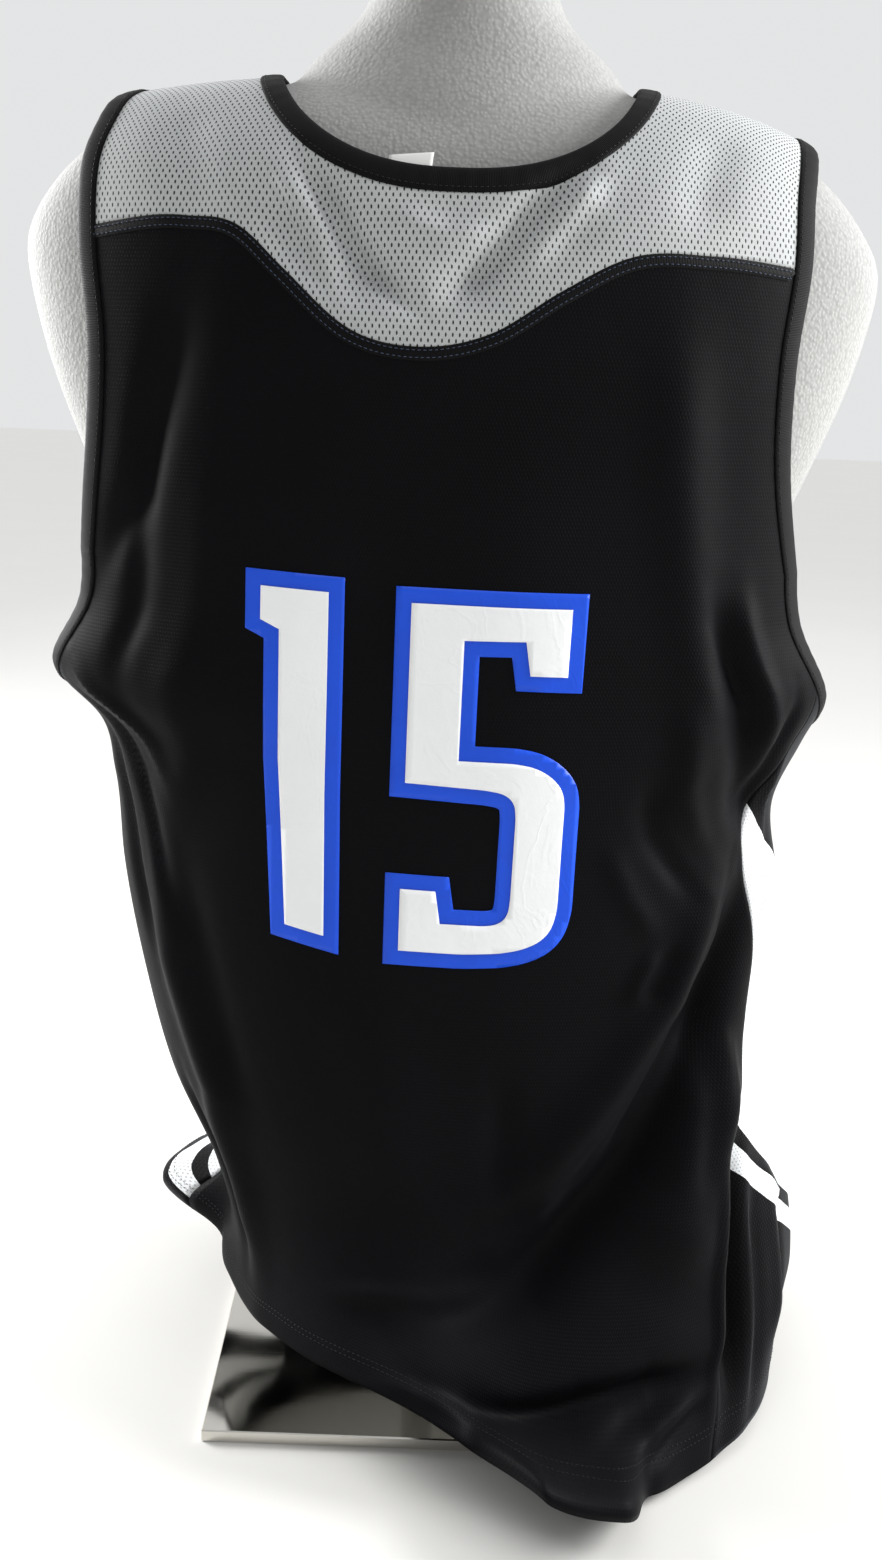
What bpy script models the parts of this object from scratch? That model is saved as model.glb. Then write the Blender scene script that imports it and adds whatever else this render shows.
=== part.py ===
"""Sleeveless basketball jersey, size 3XL, standing on a limbless dress form.

Metres, +Z up. The origin is the centre of the base plate's underside. The wearer's
back, with the number, faces -Y, and the wearer's left is at -X. Every cut piece lies
on one draped surface, which is addressed by two figures: turn, the degrees round the
body from the middle of the back (90 at the right side, 180 at the front), and level,
the metres up the cloth from the hem.
"""
import math

import bmesh
import bpy
import numpy as np

# Cloth
CLOTH = 0.0016
SEAM_HALF_GAP = 0.0002
BINDING_WIDTH = 0.013
BINDING_PROUD = 0.0007
BINDING_WALL = 0.0030
BINDING_ROUND = 0.0012
RIDGE = 0.970
ARMPITS = {-1: 0.497, 1: 0.487}    # lowest level of the left and right armholes
ARMHOLE_MIDDLE = 91.0    # turn of that point
ARMHOLE_BENDS = (90, 76, 61, 47, 36, 24, 12, 0)    # points of each half of the U, 0 the armpit
ARMHOLE_X = 0.222        # x of the armhole seams at the yoke
HEM_FADE = 0.34
SQUARENESS = 2.3

# Neck opening, at the free edge of its binding
NECK_MIDDLE = -0.004
NECK_HALF_WIDTH = 0.111
NECK_BACK = 0.824
NECK_FRONT = 0.770
NECK_POWER_WIDE = 0.80   # 1 and 1 make an ellipse, less is squarer
NECK_POWER_DEEP = 0.68

# Stand
PLATE_SIZE = (0.292, 0.360, 0.009)
PLATE_BEVEL = 0.0008
POST_RADIUS = 0.0125
FLANGE_RADIUS = 0.045
FLANGE_HEIGHT = 0.007
FORM_BOTTOM = 0.170

# Number, cut from film: outline width, film wall and the lift between layers
NUMBER_BORDER = 0.0098
FILM = 0.0010
FILM_GAP = 0.0004
ONE_FOOT = (-0.1010, 0.3520)
ONE_LEAN = 0.9
FIVE_FOOT = (-0.0225, 0.3470)
FIVE_LEAN = -0.5

# Size label behind the back neck
TAG_MIDDLE = -0.032
TAG_WIDTH = 0.026
TAG_HEIGHT = 0.026
TAG_HIDDEN = 0.014
TAG_SLANT = 0.004
TAG_WALL = 0.0010
TAG_LIFT = -0.0032

# The draped figure: one row for each section, hem to shoulder ridge. left, right: x of
# the sides. side: y of the sides. back, front: y in the middle. drops: how far the
# sides lie below the middle.
SECTION_NAMES = ("level", "height", "left", "right", "side", "back", "front", "dropLeft", "dropRight")
SECTIONS = np.array([
    (0.000, 0.012, -0.140, 0.262, -0.040, -0.232, 0.115, 0.000, 0.000),
    (0.060, 0.070, -0.144, 0.268, -0.030, -0.200, 0.120, 0.000, 0.000),
    (0.120, 0.128, -0.160, 0.262, -0.015, -0.176, 0.125, 0.000, 0.000),
    (0.200, 0.206, -0.193, 0.250, 0.000, -0.160, 0.128, 0.000, 0.000),
    (0.280, 0.285, -0.212, 0.243, 0.000, -0.148, 0.128, 0.000, 0.000),
    (0.360, 0.364, -0.226, 0.245, 0.000, -0.140, 0.128, 0.000, 0.000),
    (0.430, 0.432, -0.232, 0.237, 0.000, -0.135, 0.130, 0.000, 0.000),
    (0.470, 0.471, -0.242, 0.253, 0.000, -0.133, 0.131, 0.000, 0.000),
    (0.500, 0.500, -0.270, 0.266, 0.000, -0.131, 0.132, 0.000, 0.000),
    (0.560, 0.560, -0.262, 0.252, 0.000, -0.129, 0.133, 0.000, 0.000),
    (0.640, 0.640, -0.268, 0.249, 0.000, -0.128, 0.132, 0.000, 0.000),
    (0.720, 0.720, -0.273, 0.254, 0.000, -0.127, 0.128, 0.000, 0.000),
    (0.780, 0.780, -0.277, 0.258, 0.000, -0.122, 0.120, 0.002, 0.008),
    (0.830, 0.828, -0.274, 0.256, 0.000, -0.111, 0.107, 0.010, 0.034),
    (0.870, 0.857, -0.267, 0.258, 0.000, -0.091, 0.088, 0.022, 0.064),
    (0.900, 0.874, -0.262, 0.260, 0.000, -0.070, 0.068, 0.030, 0.082),
    (0.930, 0.884, -0.257, 0.261, 0.000, -0.042, 0.041, 0.036, 0.090),
    (0.970, 0.888, -0.253, 0.260, 0.000, 0.000, 0.000, 0.038, 0.092),
])

# How far the hem rises from its section's height, round the body
HEM_RISE = np.array([
    (-180, 0.062), (-130, 0.088), (-106, 0.099), (-97, 0.100), (-90, 0.084), (-83, 0.066), (-72, 0.062),
    (-45, 0.068), (-18, 0.054),
    (2, 0.008), (18, -0.005), (50, 0.000), (85, 0.010), (110, 0.036), (150, 0.058),
])

# Where the armhole's edge runs above the U: level, back edge, front edge (turn)
ARMHOLES = np.array([
    (0.590, 62, 118), (0.640, 57, 123), (0.720, 53, 127), (0.780, 53.5, 126.5),
    (0.830, 54, 126), (0.900, 54, 126), (0.970, 54, 126),
])

# Side seams, armhole to hem: level, then the turn of each of the four
SIDE_SEAM_NAMES = ("level", "backLeft", "frontLeft", "backRight", "frontRight")
SIDE_SEAMS = np.array([
    (0.000, -90, -126, 41, 100),
    (0.060, -91, -124, 42, 100),
    (0.120, -93, -122, 44, 101),
    (0.200, -95, -119, 51, 102),
    (0.300, -95, -114, 60, 103),
    (0.390, -93, -108, 57, 103),
])

# Lower seam of the yoke on the back: x, level
YOKE_SEAM = np.array([
    (-0.230, 0.787), (-0.165, 0.793), (-0.131, 0.787), (-0.105, 0.764), (-0.065, 0.731),
    (-0.022, 0.722), (0.020, 0.731), (0.060, 0.756), (0.100, 0.777), (0.150, 0.781),
    (0.220, 0.777),
])

# Folds, a row for each: its line as points of (turn, level), its half-width, and its
# depth, which is outwards when positive
FOLDS = (
    (((57, 0.430), (45, 0.293), (28, 0.200), (4, 0.118), (-24, 0.048)), 0.021, -0.028),    # swag
    (((58, 0.425), (46, 0.372), (38, 0.305), (26, 0.245), (12, 0.192), (-8, 0.150)), 0.017, 0.013),
    (((50, 0.280), (41, 0.180), (30, 0.100)), 0.034, 0.017),         # full lower right
    (((53, 0.215), (50, 0.160), (48, 0.095), (45, 0.010)), 0.012, -0.020),    # behind its edge
    (((66, 0.430), (68, 0.330), (62, 0.230)), 0.014, -0.010),
    (((-16, 0.018), (0, 0.032), (13, 0.048), (26, 0.058), (42, 0.054)), 0.012, -0.019),    # tuck
    (((-9, 0.004), (10, 0.004), (26, 0.008)), 0.022, 0.065),         # hem pushed out
    (((92, 0.150), (92, 0.090), (90, 0.010)), 0.040, 0.012),         # right side, above the hem
    (((-124, 0.000), (-103, 0.004), (-84, 0.000)), 0.042, 0.066),    # flap at the left hem
    (((-31, 0.740), (-34, 0.624), (-38, 0.520), (-50, 0.380)), 0.016, 0.006),    # left blade
    (((-33, 0.760), (-38, 0.690), (-44, 0.630), (-56, 0.570)), 0.012, -0.006),
    (((-52, 0.420), (-52, 0.310), (-47, 0.212), (-55, 0.090), (-55, 0.010)), 0.016, 0.008),
    (((30, 0.770), (34, 0.648), (38, 0.520), (40, 0.440)), 0.018, 0.006),    # right blade
    (((40, 0.560), (44, 0.500), (51, 0.455), (58, 0.410)), 0.013, -0.009),   # to the right waist
    (((8, 0.265), (6, 0.215), (3, 0.165)), 0.010, -0.004),           # dimple
    (((-22, 0.815), (-17, 0.780), (-6, 0.742)), 0.013, -0.008),      # cowl, left arm
    (((19, 0.810), (11, 0.780), (-2, 0.742)), 0.015, -0.007),        # cowl, right arm
    (((160, 0.640), (150, 0.400), (154, 0.060)), 0.030, 0.014),      # front, falling from the chest
    (((-158, 0.640), (-150, 0.380), (-146, 0.060)), 0.032, 0.014),
    (((180, 0.560), (176, 0.300), (178, 0.040)), 0.034, -0.012),
    (((130, 0.420), (136, 0.250), (132, 0.040)), 0.022, -0.014),
    (((-134, 0.430), (-136, 0.270), (-134, 0.060)), 0.020, -0.012),
)
FOLD_SCALE = 0.0037      # metres of cloth to a degree of turn, for the folds' widths
FOLD_TAPER = 0.3         # share of a fold's length over which it rises or dies away
FOLD_END = 0.15          # share of its depth left at its ends

# The dress form, in the same terms
FORM_NAMES = ("level", "height", "half", "back", "front", "dropLeft", "dropRight")
FORM_SECTIONS = np.array([
    (0.170, 0.170, 0.130, -0.075, 0.080, 0.000, 0.000),
    (0.185, 0.184, 0.148, -0.088, 0.094, 0.000, 0.000),
    (0.230, 0.230, 0.160, -0.096, 0.102, 0.000, 0.000),
    (0.320, 0.320, 0.158, -0.092, 0.100, 0.000, 0.000),
    (0.440, 0.440, 0.170, -0.094, 0.102, 0.000, 0.000),
    (0.540, 0.540, 0.196, -0.100, 0.108, 0.000, 0.000),
    (0.640, 0.640, 0.240, -0.105, 0.112, 0.000, 0.000),
    (0.720, 0.720, 0.268, -0.106, 0.110, 0.004, 0.004),
    (0.780, 0.780, 0.279, -0.104, 0.104, 0.012, 0.014),
    (0.830, 0.823, 0.278, -0.097, 0.095, 0.040, 0.046),
    (0.870, 0.854, 0.271, -0.081, 0.079, 0.064, 0.074),
    (0.900, 0.872, 0.266, -0.063, 0.061, 0.080, 0.091),
    (0.930, 0.8830, 0.262, -0.038, 0.037, 0.090, 0.102),
    (0.970, 0.8880, 0.260, 0.000, 0.000, 0.095, 0.107),
])
FORM_SHIFT = -0.005      # x of the form's middle, and of its neck's
NECK_SHIFT = -0.003

# Neck of the form: height, half width, half depth
FORM_NECK = (
    (0.838, 0.100, 0.086),
    (0.862, 0.103, 0.080),
    (0.878, 0.105, 0.073),
    (0.889, 0.103, 0.067),
    (0.898, 0.096, 0.063),
    (0.908, 0.084, 0.060),
    (0.920, 0.069, 0.058),
    (0.938, 0.058, 0.057),
    (0.970, 0.056, 0.056),
    (0.990, 0.055, 0.056),
    (0.994, 0.050, 0.051),
)

# Grid of the cut pieces
COLUMNS = 32
FRONT_COLUMNS = 24
STRAP_COLUMNS = 4
STRAP_SHARE = 0.075      # of the width at the yoke seam and across the chest
CHEST_ROWS = 11          # rows of the front between the chest and the ridge
SIDE_ROWS = 21
ARMHOLE_BACK_STEPS = 8
YOKE_ROWS = 7
UNDERARM_STEPS = 4       # columns of a side panel on each side of the armpit
FORM_AROUND = 34
FORM_ROWS = 17
NECK_AROUND = 32


def clearScene():
    for item in list(bpy.data.objects):
        bpy.data.objects.remove(item, do_unlink=True)


def tableColumn(table, names, name):
    return table[:, names.index(name)]


def smooth(places, values, at):
    """A smooth curve through the rows of a table."""
    places = np.asarray(places, float)
    values = np.asarray(values, float)
    slopes = np.gradient(values, places)
    at = np.asarray(at, float)
    row = np.clip(np.searchsorted(places, at) - 1, 0, len(places) - 2)
    span = places[row + 1] - places[row]
    t = (at - places[row]) / span
    start = (1 + 2 * t) * (1 - t) ** 2 * values[row] + t * (1 - t) ** 2 * span * slopes[row]
    end = t * t * (3 - 2 * t) * values[row + 1] + t * t * (t - 1) * span * slopes[row + 1]
    return start + end


def wrapped(turn):
    return (np.asarray(turn, float) + 180) % 360 - 180


def ramp(value):
    value = np.clip(value, 0, 1)
    return value * value * (3 - 2 * value)


def overRidge(turn, level):
    """Past the shoulder ridge the back's surface runs on as the front's."""
    turn = np.asarray(turn, float)
    level = np.asarray(level, float)
    past = level > RIDGE
    return np.where(past, 180 - turn, turn), np.where(past, 2 * RIDGE - level, level)


def section(turn, level, height, left, right, side, back, front, drop):
    """A point of a rounded-square ring, from the sizes of its section."""
    sine = np.sin(np.radians(turn))
    cosine = np.cos(np.radians(turn))
    swell = (np.abs(sine) ** SQUARENESS + np.abs(cosine) ** SQUARENESS) ** (-1 / SQUARENESS)
    x = (left + right) / 2 + (right - left) / 2 * sine * swell
    towards = np.where(cosine > 0, back, front) - side
    y = side + towards * np.abs(cosine) * swell
    z = height - drop * (1 - np.abs(cosine) * swell)
    return np.stack([x, y, z], axis=-1)


def figure(turn, level):
    """The draped figure without its folds."""
    turn, level = overRidge(turn, level)
    sizes = {}
    for name in SECTION_NAMES[1:]:
        sizes[name] = smooth(SECTIONS[:, 0], tableColumn(SECTIONS, SECTION_NAMES, name), level)
    toRight = (1 + np.sin(np.radians(turn))) / 2
    drop = sizes["dropLeft"] * (1 - toRight) + sizes["dropRight"] * toRight
    rows = np.concatenate([HEM_RISE - (360, 0), HEM_RISE, HEM_RISE + (360, 0)])
    fade = np.clip(1 - level / HEM_FADE, 0, None) ** 2
    height = sizes["height"] + smooth(rows[:, 0], rows[:, 1], wrapped(turn)) * fade
    return section(turn, level, height, sizes["left"], sizes["right"], sizes["side"],
                   sizes["back"], sizes["front"], drop)


def normalOf(surface, turn, level, reach=0.004):
    """The outward normal of a surface addressed by turn and level."""
    turn = np.asarray(turn, float)
    level = np.asarray(level, float)
    degrees = reach / FOLD_SCALE
    along = surface(turn + degrees, level) - surface(turn - degrees, level)
    up = surface(turn, level + reach) - surface(turn, level - reach)
    normal = np.cross(along, up)
    return normal / np.linalg.norm(normal, axis=-1, keepdims=True)


def foldDepth(turn, level):
    """How far the folds push the cloth out."""
    turn, level = overRidge(turn, level)
    total = np.zeros(np.broadcast(turn, level).shape)
    for line, width, depth in FOLDS:
        middle = line[len(line) // 2][0]
        x = wrapped(turn - middle) * FOLD_SCALE
        points = [np.array(((end[0] - middle) * FOLD_SCALE, end[1])) for end in line]
        places = np.cumsum([0] + [np.linalg.norm(b - a) for a, b in zip(points, points[1:])])
        nearest = np.full(total.shape, 9.0)
        place = np.zeros(total.shape)
        for k in range(len(points) - 1):
            run, long = points[k + 1] - points[k], places[k + 1] - places[k]
            t = ((x - points[k][0]) * run[0] + (level - points[k][1]) * run[1]) / long ** 2
            t = np.clip(t, 0, 1)
            gap = np.hypot(x - points[k][0] - t * run[0], level - points[k][1] - t * run[1])
            along = (places[k] + t * long) / places[-1]
            place = np.where(gap < nearest, along, place)
            nearest = np.minimum(gap, nearest)
        taper = ramp(place / FOLD_TAPER) * ramp((1 - place) / FOLD_TAPER)
        share = FOLD_END + (1 - FOLD_END) * taper
        total = total + depth * share * np.exp(-(nearest / width) ** 2)
    return total


def folded(turn, level):
    lift = foldDepth(turn, level)[..., None]
    return figure(turn, level) + normalOf(figure, turn, level) * lift


def cloth(path, lift=0.0):
    """Points on the draped cloth for rows of (turn, level), moved out by lift."""
    path = np.asarray(path, float)
    turn, level = path[..., 0], path[..., 1]
    point = folded(turn, level)
    if lift:
        point = point + normalOf(folded, turn, level) * lift
    return point


def turnAt(x, level):
    """The turn on the back where the figure has this x."""
    low = np.full(np.shape(x), -89.0)
    high = np.full(np.shape(x), 89.0)
    for _ in range(24):
        middle = (low + high) / 2
        right = figure(middle, level)[..., 0] > x
        high = np.where(right, middle, high)
        low = np.where(right, low, middle)
    return (low + high) / 2


def inset(path, distance):
    """A path moved sideways along the cloth, to the left of its direction if positive."""
    turn, level = path[:, 0], path[:, 1]
    wide = np.linalg.norm(figure(turn + 0.5, level) - figure(turn - 0.5, level), axis=-1)
    tall = np.linalg.norm(figure(turn, level + 0.002) - figure(turn, level - 0.002), axis=-1) / 0.004
    along = np.gradient(turn) * wide
    up = np.gradient(level) * tall
    size = np.hypot(along, up)
    moved = np.stack([turn - distance * up / size / wide, level + distance * along / size / tall], axis=-1)
    moved[:, 1] = np.minimum(moved[:, 1], RIDGE)
    return moved


def evenly(path, count):
    """The same path with evenly spaced points."""
    steps = np.linalg.norm(np.diff(figure(path[:, 0], path[:, 1]), axis=0), axis=-1)
    place = np.concatenate([[0], np.cumsum(steps)])
    at = np.linspace(0, place[-1], count + 1)
    return np.stack([np.interp(at, place, path[:, k]) for k in range(2)], axis=-1)


def armholeEdge(sign):
    """The free edge of an armhole, in the direction of growing turn.

    Returns the path, the index of its lowest point and that of the yoke seam.
    """
    bend = np.radians(ARMHOLE_BENDS)
    start = ARMHOLES[0]
    armpit = ARMPITS[sign]
    rise = start[0] - armpit

    def upperPart(turns, levels):
        return np.stack([smooth(ARMHOLES[:, 0], turns, levels), levels], axis=-1)

    def curve(turn):
        turns = ARMHOLE_MIDDLE + (turn - ARMHOLE_MIDDLE) * np.sin(bend)
        return np.stack([turns, armpit + rise * (1 - np.cos(bend))], axis=-1)

    seamLevel = np.interp(sign * ARMHOLE_X, YOKE_SEAM[:, 0], YOKE_SEAM[:, 1])
    high = np.linspace(RIDGE, seamLevel, YOKE_ROWS + 1)
    low = np.linspace(seamLevel, start[0], ARMHOLE_BACK_STEPS + 1)
    back = upperPart(ARMHOLES[:, 1], np.concatenate([high[:-1], low[:-1]]))
    front = upperPart(ARMHOLES[:, 2], np.linspace(RIDGE, start[0], YOKE_ROWS + ARMHOLE_BACK_STEPS + 1)[:-1])
    down = np.concatenate([back, curve(start[1])])
    up = np.concatenate([front, curve(start[2])])[::-1]
    path = np.concatenate([down, up[1:]])
    lowest, yoke = len(down) - 1, YOKE_ROWS
    if sign < 0:
        path = path[::-1] * (-1, 1)
        lowest, yoke = len(path) - 1 - lowest, len(path) - 1 - yoke
    return path, lowest, yoke


def neckEdge(level, columns):
    """The free edge of the back neck from left to right: a soft square half-round."""
    bend = np.radians(np.linspace(180, 0, 181))
    side = np.sign(np.cos(bend)) * np.abs(np.cos(bend)) ** NECK_POWER_WIDE
    deep = np.sin(bend).clip(0) ** NECK_POWER_DEEP
    levels = RIDGE - (RIDGE - level) * deep
    turns = turnAt(NECK_MIDDLE + NECK_HALF_WIDTH * side, levels)
    return evenly(np.stack([turns, levels], axis=-1), columns)


def toFront(path):
    """A path on the back carried round to the same x and level on the front."""
    return (path * (-1, 1) + (180, 0))[::-1]


def fanned(columns):
    """Shares of the width for a line's columns: the strap's take less than their even part."""
    ends = [0, STRAP_SHARE, 1 - STRAP_SHARE, 1]
    return np.interp(np.arange(columns + 1), [0, STRAP_COLUMNS, columns - STRAP_COLUMNS, columns], ends)


def yokeSeam(ends):
    """Lower seam of the yoke between its two end points."""
    share = fanned(COLUMNS)
    turn = ends[0][0] + (ends[1][0] - ends[0][0]) * share
    level = ends[0][1] + (ends[1][1] - ends[0][1]) * share
    for _ in range(8):
        x = figure(turn, level)[:, 0]
        level = smooth(YOKE_SEAM[:, 0], YOKE_SEAM[:, 1], x)
    level[0], level[-1] = ends[0][1], ends[1][1]
    return np.stack([turn, level], axis=-1)


def sideSeam(name, top):
    """A side seam from the hem to its end under the armhole."""
    levels = np.linspace(0, top[1], SIDE_ROWS + 1)
    places = np.append(SIDE_SEAMS[:, 0], top[1])
    turns = np.append(tableColumn(SIDE_SEAMS, SIDE_SEAM_NAMES, name), top[0])
    return np.stack([smooth(places, turns, levels), levels], axis=-1)


def spread(bottom, top, left, right):
    """A grid of (turn, level) filled in between its four edges."""
    def share(path, k):
        return (path[:, k] - path[0, k]) / (path[-1, k] - path[0, k])

    up = (share(left, 1) + share(right, 1))[:, None] / 2
    across = share(bottom, 0)[None, :] * (1 - up) + share(top, 0)[None, :] * up
    across, up = across[..., None], up[..., None] * np.ones_like(across)[..., None]
    upwards = (1 - up) * bottom[None] + up * top[None]
    sideways = (1 - across) * left[:, None] + across * right[:, None]
    low = (1 - across) * bottom[0] + across * bottom[-1]
    high = (1 - across) * top[0] + across * top[-1]
    return upwards + sideways - (1 - up) * low - up * high


def gridFaces(rows, columns):
    faces = []
    for j in range(rows - 1):
        for i in range(columns - 1):
            a = j * columns + i
            b, c, d = a + 1, a + columns + 1, a + columns
            faces.append((a, b, c))
            faces.append((a, c, d))
    return faces


def splitQuad(points, a, b, c, d):
    """Two triangles for a quad, cut across its shorter way."""
    if np.linalg.norm(points[a] - points[c]) < np.linalg.norm(points[b] - points[d]):
        return [(a, b, c), (a, c, d)]
    return [(a, b, d), (b, c, d)]


def pulledIn(points):
    """A grid of points with its rim drawn in, square to each edge, for half of the seam's gap."""
    moved = points.copy()
    for rim, following in ((0, 1), (-1, -2)):
        for axis in (0, 1):
            edge = points.take(rim, axis=axis)
            step = points.take(following, axis=axis) - edge
            along = np.gradient(edge, axis=0)
            along = along / np.linalg.norm(along, axis=-1, keepdims=True)
            step = step - along * np.sum(step * along, axis=-1, keepdims=True)
            step = step / np.linalg.norm(step, axis=-1, keepdims=True) * SEAM_HALF_GAP
            if axis == 0:
                moved[rim] = moved[rim] + step
            else:
                moved[:, rim] = moved[:, rim] + step
    return moved


def material(name, colour, roughness, metallic=0.0):
    shade = bpy.data.materials.new(name)
    shade.use_nodes = True
    shader = shade.node_tree.nodes["Principled BSDF"]
    shader.inputs["Base Color"].default_value = (*colour, 1)
    shader.inputs["Roughness"].default_value = roughness
    shader.inputs["Metallic"].default_value = metallic
    return shade


def addObject(name, mesh, shade):
    item = bpy.data.objects.new(name, mesh)
    bpy.context.collection.objects.link(item)
    mesh.materials.append(shade)
    return item


def addWall(name, faces, outer, inner, shade):
    """A closed wall from an open surface: its outer points, its inner points, and a rim."""
    count = len(outer)
    points = np.concatenate([outer, inner])
    directed = set()
    for face in faces:
        for k in range(len(face)):
            directed.add((face[k], face[(k + 1) % len(face)]))
    allFaces = list(faces)
    allFaces += [tuple(count + k for k in reversed(face)) for face in faces]
    for a, b in sorted(directed):
        if (b, a) not in directed:
            allFaces += splitQuad(points, b, a, count + a, count + b)
    mesh = bpy.data.meshes.new(name)
    mesh.from_pydata([tuple(p) for p in points], [], allFaces)
    mesh.validate()
    mesh.shade_smooth()
    mesh.set_sharp_from_angle(angle=math.radians(50))
    return addObject(name, mesh, shade)


def addPanel(name, grid, shade):
    """A cut piece of cloth as a closed wall; returns its outer points for what lies on it."""
    outer = pulledIn(cloth(grid))
    inner = pulledIn(cloth(grid, -CLOTH))
    faces = gridFaces(*grid.shape[:2])
    outerPoints = outer.reshape(-1, 3)
    addWall(name, faces, outerPoints, inner.reshape(-1, 3), shade)
    return outerPoints, faces


def addBinding(name, freeEdge, seam, shade):
    """Folded tape round an opening: a rounded band from its seam to its free edge."""
    width = cloth(seam) - cloth(freeEdge)
    back = width / np.linalg.norm(width, axis=-1, keepdims=True)
    top, bottom = BINDING_PROUD, BINDING_PROUD - BINDING_WALL
    rings = [
        cloth(seam) - back * SEAM_HALF_GAP,
        cloth(seam, top) - back * BINDING_ROUND,
        cloth(freeEdge, top) + back * BINDING_ROUND,
        cloth(freeEdge, (top + bottom) / 2),
        cloth(freeEdge, bottom) + back * BINDING_ROUND,
        cloth(seam, bottom) - back * BINDING_ROUND,
        cloth(seam, -CLOTH) - back * SEAM_HALF_GAP,
    ]
    sides, count = len(rings), len(freeEdge)
    points = np.stack(rings, axis=1).reshape(-1, 3)
    faces = []
    for k in range(count):
        for side in range(sides):
            following = (side + 1) % sides
            onwards = (k + 1) % count
            faces += splitQuad(points, k * sides + side, k * sides + following,
                               onwards * sides + following, onwards * sides + side)
    mesh = bpy.data.meshes.new(name)
    mesh.from_pydata([tuple(p) for p in points], [], faces)
    work = bmesh.new()
    work.from_mesh(mesh)
    bmesh.ops.recalc_face_normals(work, faces=work.faces)
    work.to_mesh(mesh)
    work.free()
    mesh.shade_smooth()
    return addObject(name, mesh, shade)


def patternPaths():
    """Every edge and seam of the garment, in growing turn, as rows of (turn, level)."""
    paths = {}
    for side, sign in (("Left", -1), ("Right", 1)):
        edge, lowest, yoke = armholeEdge(sign)
        seam = inset(edge, -BINDING_WIDTH)
        paths["armhole" + side] = edge
        paths["armholeSeam" + side] = seam
        backEnd, frontEnd = lowest + sign * -UNDERARM_STEPS, lowest + sign * UNDERARM_STEPS
        first, last = min(backEnd, frontEnd), max(backEnd, frontEnd)
        paths["underarm" + side] = seam[first:last + 1]
        paths["back" + side] = sideSeam("back" + side, seam[backEnd])
        paths["front" + side] = sideSeam("front" + side, seam[frontEnd])
        toYoke = seam[yoke:backEnd + 1][::-1] if sign > 0 else seam[backEnd:yoke + 1]
        toRidge = seam[:yoke + 1][::-1] if sign > 0 else seam[yoke:]
        frontUp = seam[frontEnd:] if sign > 0 else seam[:frontEnd + 1][::-1]
        paths["backUp" + side] = toYoke
        paths["yokeUp" + side] = toRidge
        paths["frontUp" + side] = frontUp
    paths["neckBack"] = neckEdge(NECK_BACK, COLUMNS - 2 * STRAP_COLUMNS)
    paths["neckFront"] = toFront(neckEdge(NECK_FRONT, FRONT_COLUMNS - 2 * STRAP_COLUMNS))
    for name in ("neckBack", "neckFront"):
        seam = inset(paths[name], -BINDING_WIDTH)
        seam[0, 1] = seam[-1, 1] = RIDGE
        paths[name + "Seam"] = seam
    paths["yoke"] = yokeSeam((paths["yokeUpLeft"][0], paths["yokeUpRight"][0]))
    return paths


def strap(start, end):
    """A shoulder seam between two points of the ridge."""
    return np.linspace(start, end, STRAP_COLUMNS + 1)


def hem(start, end, columns):
    return np.stack([np.linspace(start, end, columns + 1), np.zeros(columns + 1)], axis=-1)


def backGrid(paths):
    left = np.concatenate([paths["backLeft"], paths["backUpLeft"][1:]])
    right = np.concatenate([paths["backRight"], paths["backUpRight"][1:]])
    bottom = hem(left[0, 0], right[0, 0], COLUMNS)
    return spread(bottom, paths["yoke"], left, right)


def yokeGrid(paths):
    left, right, neck = paths["yokeUpLeft"], paths["yokeUpRight"], paths["neckBackSeam"]
    top = np.concatenate([strap(left[-1], neck[0]), neck[1:-1], strap(neck[-1], right[-1])])
    return spread(paths["yoke"], top, left, right)


def frontGrid(paths):
    turnRound = np.array((360, 0))
    left = np.concatenate([paths["frontRight"], paths["frontUpRight"][1:]])
    right = np.concatenate([paths["frontLeft"], paths["frontUpLeft"][1:]]) + turnRound
    neck = paths["neckFrontSeam"]
    top = np.concatenate([strap(left[-1], neck[0]), neck[1:-1], strap(neck[-1], right[-1])])
    bottom = hem(left[0, 0], right[0, 0], FRONT_COLUMNS)
    start, end = left[-1 - CHEST_ROWS], right[-1 - CHEST_ROWS]
    chest = start + (end - start) * fanned(FRONT_COLUMNS)[:, None]
    lower = spread(bottom, chest, left[:-CHEST_ROWS], right[:-CHEST_ROWS])
    upper = spread(chest, top, left[-1 - CHEST_ROWS:], right[-1 - CHEST_ROWS:])
    return np.concatenate([lower, upper[1:]])


def sideGrid(paths, side):
    first, last = ("back", "front") if side == "Right" else ("front", "back")
    left, right, top = paths[first + side], paths[last + side], paths["underarm" + side]
    bottom = hem(left[0, 0], right[0, 0], len(top) - 1)
    return spread(bottom, top, left, right)


def digitOne():
    """Plain block 1, white face, from its lower left corner: (x, height)."""
    return [(0.0035, 0.0070), (0.0290, 0.0015), (0.0290, 0.0940), (0.0312, 0.2230), (-0.0110, 0.2258),
            (-0.0115, 0.2048), (0.0003, 0.1990), (-0.0008, 0.1170), (0.0010, 0.0760)]


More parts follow.
